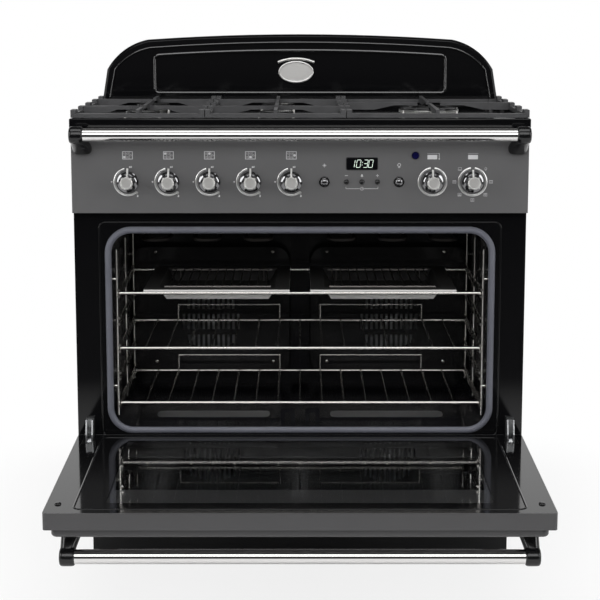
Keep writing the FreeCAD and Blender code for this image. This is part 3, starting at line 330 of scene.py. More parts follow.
# each finish with the record's material slot that it belongs to
finishes = {
    "slate": (enamel("slateEnamel", (0.118, 0.117, 0.119), 0.30, coat=0.2), "slate"),
    # the door's slate enamel painted darker than the panel's: a painted shade
    "shadedDoorSlate": (enamel("shadedDoorSlate", (0.072, 0.071, 0.073), 0.30, specular=0.3, coat=0.0), "slate"),
    "beadBlack": (enamel("beadEnamel", jet, 0.12, specular=1.0, coat=0.9), "black_enamel"),
    "glossPlastic": (moulded("glossPlastic", jet, 0.13), "black_plastic"),
    "black": (enamel("blackEnamel", (0.0035, 0.0035, 0.004), 0.07, specular=0.32, coat=0.05), "black_enamel"),
    "satinBlack": (enamel("satinBlackEnamel", satin, 0.22, specular=0.32, coat=0.05), "black_enamel"),
    "coverEnamel": (enamel("coverEnamel", satin, 0.22, specular=0.32, coat=0.05), "cavity_enamel"),
    "oven": (speckledEnamel("ovenEnamel"), "cavity_enamel"),
    "chrome": (chrome("brightChrome"), "chrome"),
    "knobChrome": (chrome("smokedChrome", (0.20, 0.20, 0.205), 0.06), "chrome"),
    "knobFace": (brushed("knobFace", (0.84, 0.83, 0.81), 0.36, (30.0, 30.0, 1.0)), "chrome"),
    "trim": (brushed("dialTrim", (0.88, 0.88, 0.87), 0.24, (6.0, 6.0, 6.0)), "chrome"),
    "wire": (chrome("wireChrome", (0.74, 0.72, 0.69), 0.16), "chrome"),
    # chrome painted dark for the trivets' wires: a painted shade
    "darkWire": (chrome("shadedWire", (0.22, 0.21, 0.20), 0.26), "chrome"),
    "panSteel": (panSheet("panSteel"), "zinc"),
    "satinSteel": (brushed("satinSteel", (0.80, 0.80, 0.81), 0.34, (30.0, 1.0, 30.0)), "cavity_enamel"),
    "castIron": (castIron("castIron"), "cast_iron"),
    "zinc": (zinc("zincSheet"), "zinc"),
    "sheet": (zinc("backSheet"), "galvanised"),
    "wool": (mineralWool("mineralWool"), "wool"),
    "gasket": (gasket("doorGasket"), "seal"),
    "plastic": (moulded("blackPlastic", (0.012, 0.012, 0.013), 0.30), "black_plastic"),
    "ceramic": (moulded("igniterCeramic", (0.72, 0.71, 0.68), 0.3), "burner_alloy"),
    "clearGlass": (glass("doorGlass", (0.80, 0.81, 0.81), 0.0, 1.0), "tinted_glass"),
    "smokedGlass": (glass("windowGlass", (0.05, 0.052, 0.055), 0.0, 0.75), "tinted_glass"),
    "clockGlass": (glass("clockGlass", (0.003, 0.003, 0.004), 0.03, 0.0), "display"),
    "lens": (glass("lampAndNeonLens", (0.006, 0.006, 0.05), 0.05, 0.2), "lens"),
    "alloy": (brushed("burnerAlloy", (0.46, 0.46, 0.45), 0.34, (1.0, 1.0, 20.0)), "burner_alloy"),
    "element": (oxidised("heatingElement"), "heater"),
    "print": (moulded("panelPrint", (0.60, 0.60, 0.61), 0.35), "display"),
    "digits": (litGlow("clockDigits", (0.74, 0.86, 0.76), 0.7), "display"),
}

panSupports = ["pan_support_left", "pan_support_centre", "pan_support_right"]
cadFinish = {
    "slate": ["control_panel", "drawer_front"],
    "black": ["splashback", "hob_tray", "front_frame", "side_panels", "door_inner_panel"],
    "shadedDoorSlate": ["door_tray", "door_outer_panel"],
    "satinBlack": ["plinth", "drawer_box"],
    "coverEnamel": ["fan_covers"],
    "oven": ["oven_liner"],
    "chrome": ["hand_rail", "door_handle_bar"],
    "wire": ["shelf_middle", "shelf_bottom", "grill_frame", "shelf_racks"],
    "darkWire": ["grill_trivet_left", "grill_trivet_right"],
    "panSteel": ["grill_pan_left", "grill_pan_right"],
    "castIron": panSupports,
    "sheet": ["back_panel", "base_frame", "fan_left", "fan_right", "fan_motors"],
    "zinc": ["hinge_brackets", "hinge_leaves", "drawer_runners", "taps_and_switches"],
    "wool": ["oven_insulation"],
    "plastic": ["feet", "terminal_box"],
    "clearGlass": ["door_inner_glass"],
    "smokedGlass": ["door_window_glass"],
    "clockGlass": ["clock_display"],
    "lens": ["lamp_lenses"],
    "element": ["oven_elements"],
}

for finish, names in cadFinish.items():
    for name in names:
        mesh = nodes[name].data
        mesh.materials.clear()
        mesh.materials.append(finishes[finish][0])
print("finishes on", sum(len(names) for names in cadFinish.values()), "CAD nodes")

# folded sheet and cast edges: the width in mm of the small round on each one's edges
softEdges = {
    "hob_tray": 1.6, "splashback": 1.4, "door_outer_panel": 1.0, "drawer_front": 1.2, "plinth": 0.8,
    **dict.fromkeys(panSupports, 0.9),
}


def softenEdges():
    for name, width in softEdges.items():
        node = nodes[name]
        weld = node.modifiers.new("weld", "WELD")
        weld.merge_threshold = 1e-6
        bevel = node.modifiers.new("edges", "BEVEL")
        bevel.width, bevel.segments = width * mm, 2
        bevel.limit_method, bevel.angle_limit = "ANGLE", radians(40)
        bevel.use_clamp_overlap = True
        bevel.harden_normals = True


softenEdges()
print("edges softened on", len(softEdges), "nodes")


def at(x, y, z):
    # millimetres, with y counted back from the body's front face
    return Vector((x, y + bodyFront, z)) * mm


forward = Vector((0, -1, 0))
back = Vector((0, 1, 0))
up = Vector((0, 0, 1))
panelFace = -20.0  # the control panel's front
knobHeight = 780.0


def linked(name, data):
    made = bpy.data.objects.new(name, data)
    scene.collection.objects.link(made)
    return made


def finished(name, shape, finish, body="cooker", replaced=(), turn=None, sharp=60, spare=()):
    # turns a bmesh into a piece that rides a body, with its finish
    bmesh.ops.remove_doubles(shape, verts=shape.verts, dist=1e-7)
    bmesh.ops.recalc_face_normals(shape, faces=shape.faces)
    if turn:
        shape.transform(turn)
    mesh = bpy.data.meshes.new(name)
    shape.to_mesh(mesh)
    shape.free()
    for kind in (finish, *spare):
        mesh.materials.append(finishes[kind][0])
    for face in mesh.polygons:
        face.use_smooth = True
    mesh.set_sharp_from_angle(angle=radians(sharp))
    piece = linked(name, mesh)
    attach(piece, body)
    if replaced:
        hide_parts(*replaced)
    return piece


def circle(steps):
    # the angles of a full turn, in radians
    return [2 * pi * n / steps for n in range(steps)]


def band(shape, low, high, closed=True):
    # the faces between two rings of points, or between two open rows
    for a in range(len(low) if closed else len(low) - 1):
        b = (a + 1) % len(low)
        shape.faces.new((low[a], low[b], high[b], high[a]))


def lathe(shape, profile, centre, axis, steps=48, kinds=None):
    # profile: (radius, distance along the axis) pairs; kinds: the finish number of each stretch
    side = axis.orthogonal().normalized()
    other = axis.cross(side)
    rings = []
    for radius, along in profile:
        spot = centre + axis * along * mm
        if radius == 0:
            rings.append([shape.verts.new(spot)])
            continue
        rings.append([
            shape.verts.new(spot + (side * cos(a) + other * sin(a)) * radius * mm)
            for a in circle(steps)
        ])
    for n, (low, high) in enumerate(zip(rings, rings[1:])):
        for a in range(steps):
            b = (a + 1) % steps
            if len(low) == 1:
                corners = (low[0], high[b], high[a])
            elif len(high) == 1:
                corners = (low[a], low[b], high[0])
            else:
                corners = (low[a], low[b], high[b], high[a])
            shape.faces.new(corners).material_index = kinds[n] if kinds else 0


def sweep(shape, path, section, normal, closed=True):
    # section: (outward, along the normal) pairs in mm, carried round a flat path
    count = len(path)
    rings = []
    for n, spot in enumerate(path):
        before = path[n - 1] if closed or n else spot
        after = path[(n + 1) % count] if closed or n < count - 1 else spot
        out = (after - before).normalized().cross(normal)
        rings.append([shape.verts.new(spot + out * a * mm + normal * b * mm) for a, b in section])
    for n in range(count if closed else count - 1):
        band(shape, rings[n], rings[(n + 1) % count])
    if not closed:
        shape.faces.new(rings[0])
        shape.faces.new(rings[-1])


def bead(width, height, steps=6):
    # a half-round section that stands on its face
    turns = [pi * n / steps for n in range(steps + 1)]
    return [(cos(a) * width / 2, sin(a) * height) for a in turns]


def quarter(x, z, radius, start, y, steps, first=0):
    # points of a quarter turn round a corner's centre, counter-clockwise from a start in degrees
    turns = [radians(start + 90 * n / steps) for n in range(first, steps + 1)]
    return [at(x + radius * cos(a), y, z + radius * sin(a)) for a in turns]


def roundedLoop(x0, z0, x1, z1, radius, y, steps=8):
    # a rectangle with round corners in a plane that faces forward
    left, right, low, high = x0 + radius, x1 - radius, z0 + radius, z1 - radius
    points = []
    for n, (x, z) in enumerate([(right, high), (left, high), (left, low), (right, low)]):
        points += quarter(x, z, radius, 90 * n, y, steps)
    return points


def arc(x, z, radius, start, end, y, steps=48):
    # clock angles in degrees, clockwise from twelve
    turns = [radians(start + (end - start) * n / steps) for n in range(steps + 1)]
    return [at(x + radius * sin(a), y, z + radius * cos(a)) for a in turns]


printHeight = 0.12


def plate(shape, outline, y=panelFace, height=printHeight):
    # a thin raised plate with the outline's points (x, z)
    low = [shape.verts.new(at(x, y, z)) for x, z in outline]
    high = [shape.verts.new(at(x, y, z) + forward * height * mm) for x, z in outline]
    shape.faces.new(high)
    shape.faces.new(low)
    band(shape, low, high)


def stroke(shape, points, width, y=panelFace, height=printHeight):
    # a printed line through points (x, z)
    for (x0, z0), (x1, z1) in zip(points, points[1:]):
        run = Vector((x1 - x0, z1 - z0))
        side = Vector((-run.y, run.x)).normalized() * width / 2
        tail = run.normalized() * width / 2
        ends = (Vector((x0, z0)) - tail, Vector((x1, z1)) + tail)
        plate(shape, [ends[0] - side, ends[1] - side, ends[1] + side, ends[0] + side], y, height)


def oval(x, z, w, h, steps):
    return [(x + w * cos(a), z + h * sin(a)) for a in circle(steps)]


def dot(shape, x, z, radius, y=panelFace, height=printHeight, steps=16):
    plate(shape, oval(x, z, radius, radius, steps), y, height)


def boxLine(x, z, w, h):
    # the closed outline of a rectangle, from its middle and half sizes
    return [(x - w, z - h), (x + w, z - h), (x + w, z + h), (x - w, z + h), (x - w, z - h)]


# turned and plated knobs: a smoked skirt, a bright grip with four lugs, and a pointer fin at twelve
knob = {
    "skirt": 21.0,
    "grip": 12.5,
    "reach": 33.0,
    "finWidth": 3.6,
    "finTop": {"gas": 27.0, "oven": 24.5},
    "finRound": 0.5,
    "lugRadius": 2.5,
    "lugTurns": (45, 135, 225, 315),
}
gasKnobs = [f"gas_knob_{n}" for n in range(1, 6)]
ovenKnobs = ["thermostat_knob", "function_knob"]


def boxMiddle(name, axis=0):
    low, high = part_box(name)
    return (low[axis] + high[axis]) / 2 / mm


def makeKnob(name, finTop):
    centre = at(boxMiddle(name), panelFace, knobHeight)
    shape = bmesh.new()
    skirt, grip, reach = knob["skirt"], knob["grip"], knob["reach"]
    profile = [
        (0, -18), (3.4, -18), (3.6, 1.0), (skirt - 1.0, 1.0), (skirt - 0.2, 1.4), (skirt, 2.2), (skirt, 4.0),
        (skirt - 0.4, 4.7), (skirt - 1.4, 5.2), (16.6, 6.6), (14.4, 8.6), (grip - 0.2, 11.5),
        (grip - 1.2, 15), (grip - 1.3, 19), (grip - 0.8, 21.5), (grip, 23.2), (grip, reach - 1.6),
        (grip - 0.3, reach - 0.7), (grip - 1.2, reach), (grip - 2.6, reach), (grip - 3.2, reach - 0.4),
        (0, reach - 0.4),
    ]
    lathe(shape, profile, centre, forward, 64, [0] * 16 + [1] * 5)
    lug = knob["lugRadius"]
    lugProfile = [(0, 21.5), (lug - 0.5, 21.7), (lug, 22.6), (lug, 29.2), (lug - 0.7, 30.4), (0, 30.8)]
    for turn in knob["lugTurns"]:
        a = radians(turn)
        foot = centre + Vector((sin(a), 0, cos(a))) * (grip - 0.4) * mm
        lathe(shape, lugProfile, foot, forward, 16, [1] * 5)
    half = knob["finWidth"] / 2 * mm
    fin = []
    for r, low, high in ((10.5, 5.0, 16.5), (skirt - 1, 2.4, 11.0), (finTop, 2.6, 7.5)):
        for side in (-1, 1):
            for t in (low, high):
                spot = centre + up * r * mm + forward * t * mm + Vector((side * half, 0, 0))
                fin.append(shape.verts.new(spot))
    quads = [(0, 1, 3, 2), (8, 9, 11, 10)]
    for a, b in ((0, 4), (4, 8)):
        quads += [(a, a + 1, b + 1, b), (a + 2, a + 3, b + 3, b + 2)]
        quads += [(a + 1, a + 3, b + 3, b + 1), (a, a + 2, b + 2, b)]
    faces = [shape.faces.new([fin[n] for n in quad]) for quad in quads]
    for face in faces:
        face.material_index = 1
    edges = list({e for face in faces for e in face.edges if len(e.link_faces) == 2})
    rounding = {"offset": knob["finRound"] * mm, "segments": 2, "affect": "EDGES", "profile": 0.5}
    bmesh.ops.bevel(shape, geom=edges, material=1, **rounding)
    finished(name + "_turned", shape, "knobChrome", name + "_body", [name], sharp=28, spare=["knobFace"])


for name in gasKnobs:
    makeKnob(name, knob["finTop"]["gas"])
for name in ovenKnobs:
    makeKnob(name, knob["finTop"]["oven"])
print("knobs made")


buttons = {
    "dome": {
        "nodes": ["ignition_button", "lamp_button"],
        "radius": 8.2, "reach": 7.5, "finish": "knobChrome",
        "collar": [(-0.2, -1), (2.6, -1), (2.4, 1.6), (1.2, 2.4), (-0.2, 2.0)],  # the ring it slides in
    },
    "cap": {
        "nodes": ["clock_button_1", "clock_button_2", "clock_button_3"],
        "radius": 5.0, "reach": 4.6, "finish": "glossPlastic",
    },
}


def makeButtons():
    for kind in buttons.values():
        r, reach = kind["radius"], kind["reach"]
        for name in kind["nodes"]:
            centre = at(boxMiddle(name), panelFace, boxMiddle(name, 2))
            profile = [(0, -3), (r, -3), (r, reach * 0.3)]
            for n in range(1, 9):
                a = radians(90 * n / 8)
                profile.append((r * cos(a) if n < 8 else 0, reach * (0.3 + 0.7 * sin(a))))
            shape = bmesh.new()
            lathe(shape, profile, centre, forward, 40)
            finished(name + "_domed", shape, kind["finish"], name + "_body", [name], sharp=50)
            if "collar" in kind:
                shape = bmesh.new()
                profile = [(r + outward, along) for outward, along in kind["collar"]]
                lathe(shape, profile + profile[:1], centre, forward, 40)
                finished(name + "_collar", shape, "glossPlastic", sharp=50)


makeButtons()


# one casting at each end of a rail: a closed sleeve, and an arm that widens to its foot
bracket = {
    "sleeve": [
        (0, 0), (11, 0), (14.6, 0.9), (16.4, 3), (17, 6), (17, 22), (16.3, 25.5), (14.6, 27.4), (0, 27.6),
    ],
    "armWidth": (19.0, 12.5),  # half its width at the foot and at the sleeve
    "armDepth": (12.0, 14.5),
    "squareness": 0.7,  # with 1 the arm's section would be an ellipse
    "voxel": 1.2,
    "smoothing": 12,
    "rails": {
        # body, outer face, and the bar's and the foot's y and z
        "hand_rail_brackets": ("cooker", 447.0, (-65.0, 876.0), (-20.5, 843.5)),
        "door_handle_brackets": ("door", 427.0, (-102.0, 670.0), (-54.5, 640.0)),
    },
}
doorPivot = at(0, -18, 251)
doorSwing = Matrix.Rotation(radians(91.3), 4, "X")  # from shut to open
doorTurn = Matrix.Translation(doorPivot) @ doorSwing @ Matrix.Translation(-doorPivot)


def makeBrackets():
    steps, around = 10, 32
    square = bracket["squareness"]
    widths, depths = bracket["armWidth"], bracket["armDepth"]
    for name, (body, outer, (barY, barZ), (footY, footZ)) in bracket["rails"].items():
        shape = bmesh.new()
        length = hypot(barY - footY, barZ - footZ)
        lift = ((barZ - footZ) / length, -(barY - footY) / length)  # square to the arm, in y and z
        for side in (-1, 1):
            middle = at(side * outer, barY, barZ)
            lathe(shape, bracket["sleeve"], middle, Vector((-side, 0, 0)), 40)
            rings = []
            for n in range(steps + 1):
                s = n / steps
                ease = s * s * (3 - 2 * s)
                w = widths[0] * (1 - ease) + widths[1] * ease
                d = depths[0] * (1 - ease) + depths[1] * ease
                x, y, z = outer - 1 - w, footY + (barY - footY) * s, footZ + (barZ - footZ) * s
                loop = []
                for a in circle(around):
                    across = abs(cos(a)) ** square * copysign(w, cos(a))
                    depth = abs(sin(a)) ** square * copysign(d, sin(a))
                    spot = at(side * (x + across), y + lift[0] * depth, z + lift[1] * depth)
                    loop.append(shape.verts.new(spot))
                rings.append(loop)
            for low, high in zip(rings, rings[1:]):
                band(shape, low, high)
            shape.faces.new(rings[0])
            shape.faces.new(rings[-1])
        turn = doorTurn if body == "door" else None
        piece = finished(name + "_cast", shape, "glossPlastic", body, [name], turn=turn, sharp=32)
        remesh = piece.modifiers.new("casting", "REMESH")
        remesh.mode, remesh.voxel_size, remesh.use_smooth_shade = "VOXEL", bracket["voxel"] * mm, True
        smooth = piece.modifiers.new("fillets", "SMOOTH")
        smooth.factor, smooth.iterations = 0.5, bracket["smoothing"]


makeBrackets()
print("rail brackets cast")


dials = {
    "trimWidth": 5.0,
    "trimHeight": 0.7,
    "gasRadius": 26.0,
    "gasArc": (-14.0, -222.0),  # counter-clockwise from just left of twelve to nearly five
    "ovenRadius": 26.6,
    "ovenArc": (8.0, 352.0),
    "symbolRadius": 36.0,
    "stopRing": (142, 27.2, 2.6),  # clock angle, distance from the knob's middle, and radius
}


def onDial(x, radius, turn):
    # the place on a circle round a knob, at a clock angle in degrees
    a = radians(turn)
    return x + radius * sin(a), knobHeight + radius * cos(a)


def makeDials():
    shape = bmesh.new()
    y = panelFace
    half, height = dials["trimWidth"] / 2, dials["trimHeight"]
    rim = [(-half, 0), (-half + 0.4, height), (0, height * 1.15), (half - 0.4, height), (half, 0)]
    turn, reach, radius = dials["stopRing"]
    for name in gasKnobs:
        x = boxMiddle(name)
        path = arc(x, knobHeight, dials["gasRadius"], *dials["gasArc"], y)
        sweep(shape, path, rim, forward, closed=False)
        stopRing = arc(*onDial(x, reach, turn), radius, 0, 360, y, 20)
        sweep(shape, stopRing[:-1], [(-0.6, 0), (-0.5, 0.3), (0.5, 0.3), (0.6, 0)], forward)
    for name in ovenKnobs:
        path = arc(boxMiddle(name), knobHeight, dials["ovenRadius"], *dials["ovenArc"], y, 72)
        sweep(shape, path, rim, forward, closed=False)
    finished("dial_trims", shape, "trim")


def flame(shape, x, z, size):
    # a small printed flame
    points = [(0, 1.0), (0.42, 0.35), (0.55, -0.25), (0.3, -0.8), (-0.3, -0.8), (-0.55, -0.25), (-0.3, 0.2)]
    plate(shape, [(x + px * size, z + pz * size) for px, pz in points])


def ring(shape, x, z, radius, width, steps=24):
    path = arc(x, z, radius, 0, 360, panelFace, steps)[:-1]
    half = width / 2
    sweep(shape, path, [(-half, 0), (-half, printHeight), (half, printHeight), (half, 0)], forward)


hobMap = {
    "height": 832.4, "size": (19.4, 14.6), "line": 1.15, "column": 6.4, "row": 3.4,
    "burners": [(-1, -1), (-1, 1), (0, 1), (0, -1), (1, 0)],  # each one's column and row, in the knobs' order
    "filled": 2.4,
    "open": (1.5, 0.4),
}


def makeHobMaps(shape):
    # the outline of the hob over each gas knob, with that knob's burner filled in
    w, h = hobMap["size"][0] / 2, hobMap["size"][1] / 2
    z = hobMap["height"]
    for n, name in enumerate(gasKnobs):
        x = boxMiddle(name)
        stroke(shape, boxLine(x, z, w, h), hobMap["line"])
        for side in (-1, 1):
            stroke(shape, [(x + side * w / 3, z - h), (x + side * w / 3, z + h)], hobMap["line"] * 0.6)
        for m, (column, row) in enumerate(hobMap["burners"]):
            px, pz = x + column * hobMap["column"], z + row * hobMap["row"]
            if m == n:
                dot(shape, px, pz, hobMap["filled"])
            else:
                ring(shape, px, pz, *hobMap["open"], 16)


# clock angle and distance of each mark round a gas knob; the flames' third number is their size
knobMarks = {"dots": [(270, 32), (8, 29.5)], "dotRadius": 1.5, "flames": [(146, 33.5, 3.0), (13, 30.5, 2.2)]}


def makeKnobMarks(shape):
    for name in gasKnobs:
        x = boxMiddle(name)
        for turn, reach in knobMarks["dots"]:
            dot(shape, *onDial(x, reach, turn), knobMarks["dotRadius"])
        for turn, reach, size in knobMarks["flames"]:
            flame(shape, *onDial(x, reach, turn), size)


# the seven oven signs stand every 45 degrees; the lists say which of them have each line
ovenSigns = {
    "half": (3.2, 2.8), "roof": (2, 3, 6), "floor": (2, 5, 7), "fan": (3, 4, 5), "wave": (6,), "over": 829.6,
}


def makeOvenSymbols(shape):
    # the function dial's oven signs, and the two signs over the oven knobs
    middle = boxMiddle("function_knob")
    for n in range(1, 8):
        x, z = onDial(middle, dials["symbolRadius"], 45 * n)
        if n == 1:
            ring(shape, x, z + 0.6, 2.1, 0.6)
            stroke(shape, [(x - 1.1, z - 2.4), (x + 1.1, z - 2.4)], 0.7)
            continue
        stroke(shape, boxLine(x, z, *ovenSigns["half"]), 0.6)
        for line, level in (("roof", 1.6), ("floor", -1.6)):
            if n in ovenSigns[line]:
                stroke(shape, [(x - 2.2, z + level), (x + 2.2, z + level)], 0.7)
        if n in ovenSigns["fan"]:
            ring(shape, x, z - 0.1, 1.3, 0.6, 12)
        if n in ovenSigns["wave"]:
            wave = [(x - 2, z - 1), (x - 1, z + 0.4), (x, z - 1), (x + 1, z + 0.4), (x + 2, z - 1)]
            stroke(shape, wave, 0.5)
    x, z = boxMiddle("thermostat_knob"), ovenSigns["over"]
    plate(shape, [(x - 10.5, z - 5), (x + 8.5, z - 5), (x + 8.5, z + 3.6), (x - 10.5, z + 3.6)])
    stroke(shape, [(x - 10.5, z + 6.4), (x + 11.5, z + 6.4)], 0.5)
    stroke(shape, [(x + 12.6, z - 3.6), (x + 12.6, z + 6.4)], 0.9)
    dot(shape, x + 12.6, z - 4.2, 1.4)
    x = middle
    plate(shape, [(x - 9.6, z - 5), (x + 9.6, z - 5), (x + 9.6, z + 3.6), (x - 9.6, z + 3.6)])
    stroke(shape, [(x - 10, z + 6.4), (x + 10, z + 6.4)], 0.5)


clockMarks = {"middle": 122.0, "pitch": 30.5, "signs": 792.4, "bracket": 766.5}


def makeClockMarks(shape):
    middle, pitch, z = clockMarks["middle"], clockMarks["pitch"], clockMarks["signs"]
    stroke(shape, [(middle - pitch - 2.4, z), (middle - pitch + 2.4, z)], 1.1)
    bell = [(-2.6, -1.8), (2.6, -1.8), (1.9, -0.4), (1.5, 1.6), (0.6, 2.6)]
    bell += [(-px, pz) for px, pz in reversed(bell[2:])]
    plate(shape, [(middle + px, z + pz) for px, pz in bell])
    dot(shape, middle, z - 2.4, 0.9)
    for run in (((-2.2, 0), (2.2, 0)), ((0, -2.2), (0, 2.2))):
        stroke(shape, [(middle + pitch + px, z + pz) for px, pz in run], 1.1)
    low = clockMarks["bracket"]
    ends = (middle - pitch - 1, middle + pitch + 1)
    for end, inner in zip(ends, (middle - 4.6, middle + 4.6)):
        stroke(shape, [(end, low + 3.2), (end, low), (inner, low)], 0.8)
    ring(shape, middle, low, 3.0, 0.7)
    stroke(shape, [(middle, low + 1.9), (middle, low), (middle + 1.5, low)], 0.6)


buttonSigns = {"spark": (48.0, 812.4), "lamp": (195.0, 812.0)}


def makeButtonSigns(shape):
    # a spark over the ignition button and a lamp over the oven light's
    x, z = buttonSigns["spark"]
    for n in range(4):
        a = radians(45 * n)
        reach = 3.6 if n % 2 == 0 else 2.4
        run = (sin(a) * reach, cos(a) * reach)
        stroke(shape, [(x - run[0], z - run[1]), (x + run[0], z + run[1])], 0.7)
    x, z = buttonSigns["lamp"]
    ring(shape, x, z + 1.4, 2.9, 0.9)
    for drop in (-2.6, -4.0):
        stroke(shape, [(x - 1.5, z + drop), (x + 1.5, z + drop)], 0.8)


def makePrint():
    shape = bmesh.new()
    for part in (makeHobMaps, makeKnobMarks, makeOvenSymbols, makeClockMarks, makeButtonSigns):
        part(shape)
    finished("panel_print", shape, "print")


makeDials()
makePrint()
print("dials and printed signs made")


clock = {
    "front": -21.0, "low": 808.6, "high": 823.4,
    "digits": [(103.6, "bc"), (115.2, "abcdef"), (129.2, "abcdg"), (139.2, "abcdef")],
    "digitWidth": 7.6, "lean": 0.17, "stroke": 0.95, "height": 0.06,
    "colon": (122.4, 2.6, 0.8),  # its place, how far each dot is from the middle, and their radius
    "bezel": (91.4, 803.9, 152.6, 828.1, 3.0),
    "neonBezel": (227.0, 832.0, 7.2),
}


def makeClock():
    shape = bmesh.new()
    low, high, w, y = clock["low"], clock["high"], clock["digitWidth"] / 2, clock["front"]
    middle = (low + high) / 2
    ends = {
        "a": ((-w, high), (w, high)), "b": ((w, high), (w, middle)), "c": ((w, middle), (w, low)),
        "d": ((-w, low), (w, low)), "e": ((-w, middle), (-w, low)), "f": ((-w, high), (-w, middle)),
        "g": ((-w, middle), (w, middle)),
    }
    for x, segments in clock["digits"]:
        for s in segments:
            (x0, z0), (x1, z1) = ends[s]
            run = Vector((x1 - x0, z1 - z0)).normalized() * 1.0
            points = [(x0 + run.x, z0 + run.y), (x1 - run.x, z1 - run.y)]
            leaning = [(x + px + (pz - middle) * clock["lean"], pz) for px, pz in points]
            stroke(shape, leaning, clock["stroke"], y, clock["height"])
    x, apart, radius = clock["colon"]
    for z in (middle + apart, middle - apart):
        dot(shape, x + (z - middle) * clock["lean"], z, radius, y, clock["height"], 10)
    finished("clock_digits", shape, "digits")

    shape = bmesh.new()
    loop = roundedLoop(*clock["bezel"], panelFace, 4)
    sweep(shape, loop, [(-0.7, 0), (-0.6, 1.1), (0.5, 0.9), (1.0, 0)], forward)
    loop = arc(*clock["neonBezel"], 0, 360, panelFace, 40)[:-1]
    sweep(shape, loop, [(-0.6, 0), (-0.5, 0.9), (0.4, 0.7), (0.8, 0)], forward)
    finished("clock_and_neon_bezels", shape, "plastic", sharp=50)


makeClock()
print("clock made")


seal = {"loop": (-383.0, 271.5, 383.0, 681.5, 46.5), "halfWidth": 6.5, "height": 5.6}


def makeSeal():
    # a soft bulb on a flat foot, round the oven's mouth
    w, h = seal["halfWidth"], seal["height"]
    section = [(-w, 0), (-w, 0.9), (-w + 1.1, 1.2), (-w + 1.5, h * 0.55), (-w + 2.7, h * 0.86), (-w + 4.6, h)]
    section += [(-across, along) for across, along in reversed(section)]
    shape = bmesh.new()
    sweep(shape, roundedLoop(*seal["loop"], 0, 14), section, forward)
    finished("door_seal_bulb", shape, "gasket", "cooker", ["door_seal"], sharp=50)


makeSeal()


mouth = {"loop": (-400.0, 259.0, 400.0, 697.0, 12.0), "bead": (4.0, 1.8)}


def makeMouthBead():
    # the pressed line in the front frame, outside the seal
    shape = bmesh.new()
    sweep(shape, roundedLoop(*mouth["loop"], 0, 6), bead(*mouth["bead"]), forward)
    finished("mouth_bead", shape, "black")


makeMouthBead()


# two low pressings across the floor of the oven
pressing = {
    "x": (57.0, 303.0), "y": (60.0, 126.0), "floor": 278.0, "height": 7.0,
    "fullness": (0.8, 0.5),  # powers that fill out its section and its ends
    "endSlope": 14.0,
}


def makeFloorPressings():
    shape = bmesh.new()
    (x0, x1), (y0, y1) = pressing["x"], pressing["y"]
    across, along = pressing["fullness"]
    rows, columns = 14, 24
    for side in (-1, 1):
        grid = []
        for n in range(rows + 1):
            row = []
            for m in range(columns + 1):
                u, v = n / rows, m / columns
                end = min(1.0, pressing["endSlope"] * min(v, 1 - v))
                rise = sin(pi * u) ** across * end ** along
                x, y = side * (x0 + (x1 - x0) * v), y0 + (y1 - y0) * u
                row.append(shape.verts.new(at(x, y, pressing["floor"] + pressing["height"] * rise)))
            grid.append(row)
        for low, high in zip(grid, grid[1:]):
            band(shape, low, high, closed=False)
    finished("oven_floor_pressings", shape, "satinSteel")


makeFloorPressings()


screws = {"x": (60.0, 320.0), "z": (334.3, 583.3), "y": 352.0, "radius": 3.8, "height": 1.9}


def makeCoverScrews():
    # low domes with a round recess
    shape = bmesh.new()
    radius, height = screws["radius"], screws["height"]
    profile = [(radius, 0), (radius, height * 0.35), (radius * 0.82, height * 0.75), (radius * 0.5, height)]
    profile += [(radius * 0.3, height), (radius * 0.16, height * 0.5), (0, height * 0.45)]
    for x in screws["x"]:
        for side in (-1, 1):
            for z in screws["z"]:
                lathe(shape, profile, at(side * x, screws["y"], z), forward, 20)
    finished("fan_cover_screws", shape, "wire", sharp=32)


makeCoverScrews()
print("seal, mouth bead and screws made")


splash = {
    "front": 505.0,
    "field": (330.0, 925.0, 1010.0, 1021.0, 9.0),  # half width, foot, top of the sides, crown, corner radius
    "fieldDepth": 5.0, "bead": (6.0, 2.0),
    "borderInset": 20.0, "borderBead": (4.0, 1.8),
    "edge": {"side": (450, 978), "lean": 12, "corner": (399, 1021.5), "shoulder": (345, 1045), "crown": 1057},
    "badge": (-9.0, 972.0, 40.0, 25.0),  # middle x and z, half width, half height
    "badgeArc": (41.0, 1002.0, 110.0, 6.0),  # half width, crown, radius, width of the bar
}


def crownedLoop(half, low, side, crown, corner, y):
    # like roundedLoop, with its top side bowed up to a crown
    rise = crown - side
    radius = (half * half + rise * rise) / (2 * rise)
    points = []
    reach, steps = half - corner, 32
    for n in range(steps + 1):
        x = reach - (2 * reach) * n / steps
        z = crown - radius + sqrt(radius * radius - x * x)
        points.append(at(x, y, z))
    # the two upper corners leave out the points that the bowed side ends on
    points += quarter(-reach, side - corner, corner, 90, y, 6, 1)
    points += quarter(-reach, low + corner, corner, 180, y, 6)
    points += quarter(reach, low + corner, corner, 270, y, 6)
    return points + quarter(reach, side - corner, corner, 0, y, 6)[:-1]


def arcThrough(a, b, c, steps):
    # points of the circle through three points, from the first to the last
    (ax, az), (bx, bz), (cx, cz) = a, b, c
    d = 2 * (ax * (bz - cz) + bx * (cz - az) + cx * (az - bz))
    a2, b2, c2 = ax * ax + az * az, bx * bx + bz * bz, cx * cx + cz * cz
    x = (a2 * (bz - cz) + b2 * (cz - az) + c2 * (az - bz)) / d
    z = (a2 * (cx - bx) + b2 * (ax - cx) + c2 * (bx - ax)) / d
    start, end = atan2(az - z, ax - x), atan2(cz - z, cx - x)
    radius = hypot(ax - x, az - z)
    turns = [start + (end - start) * n / steps for n in range(steps + 1)]
    return [(x + radius * cos(t), z + radius * sin(t)) for t in turns]


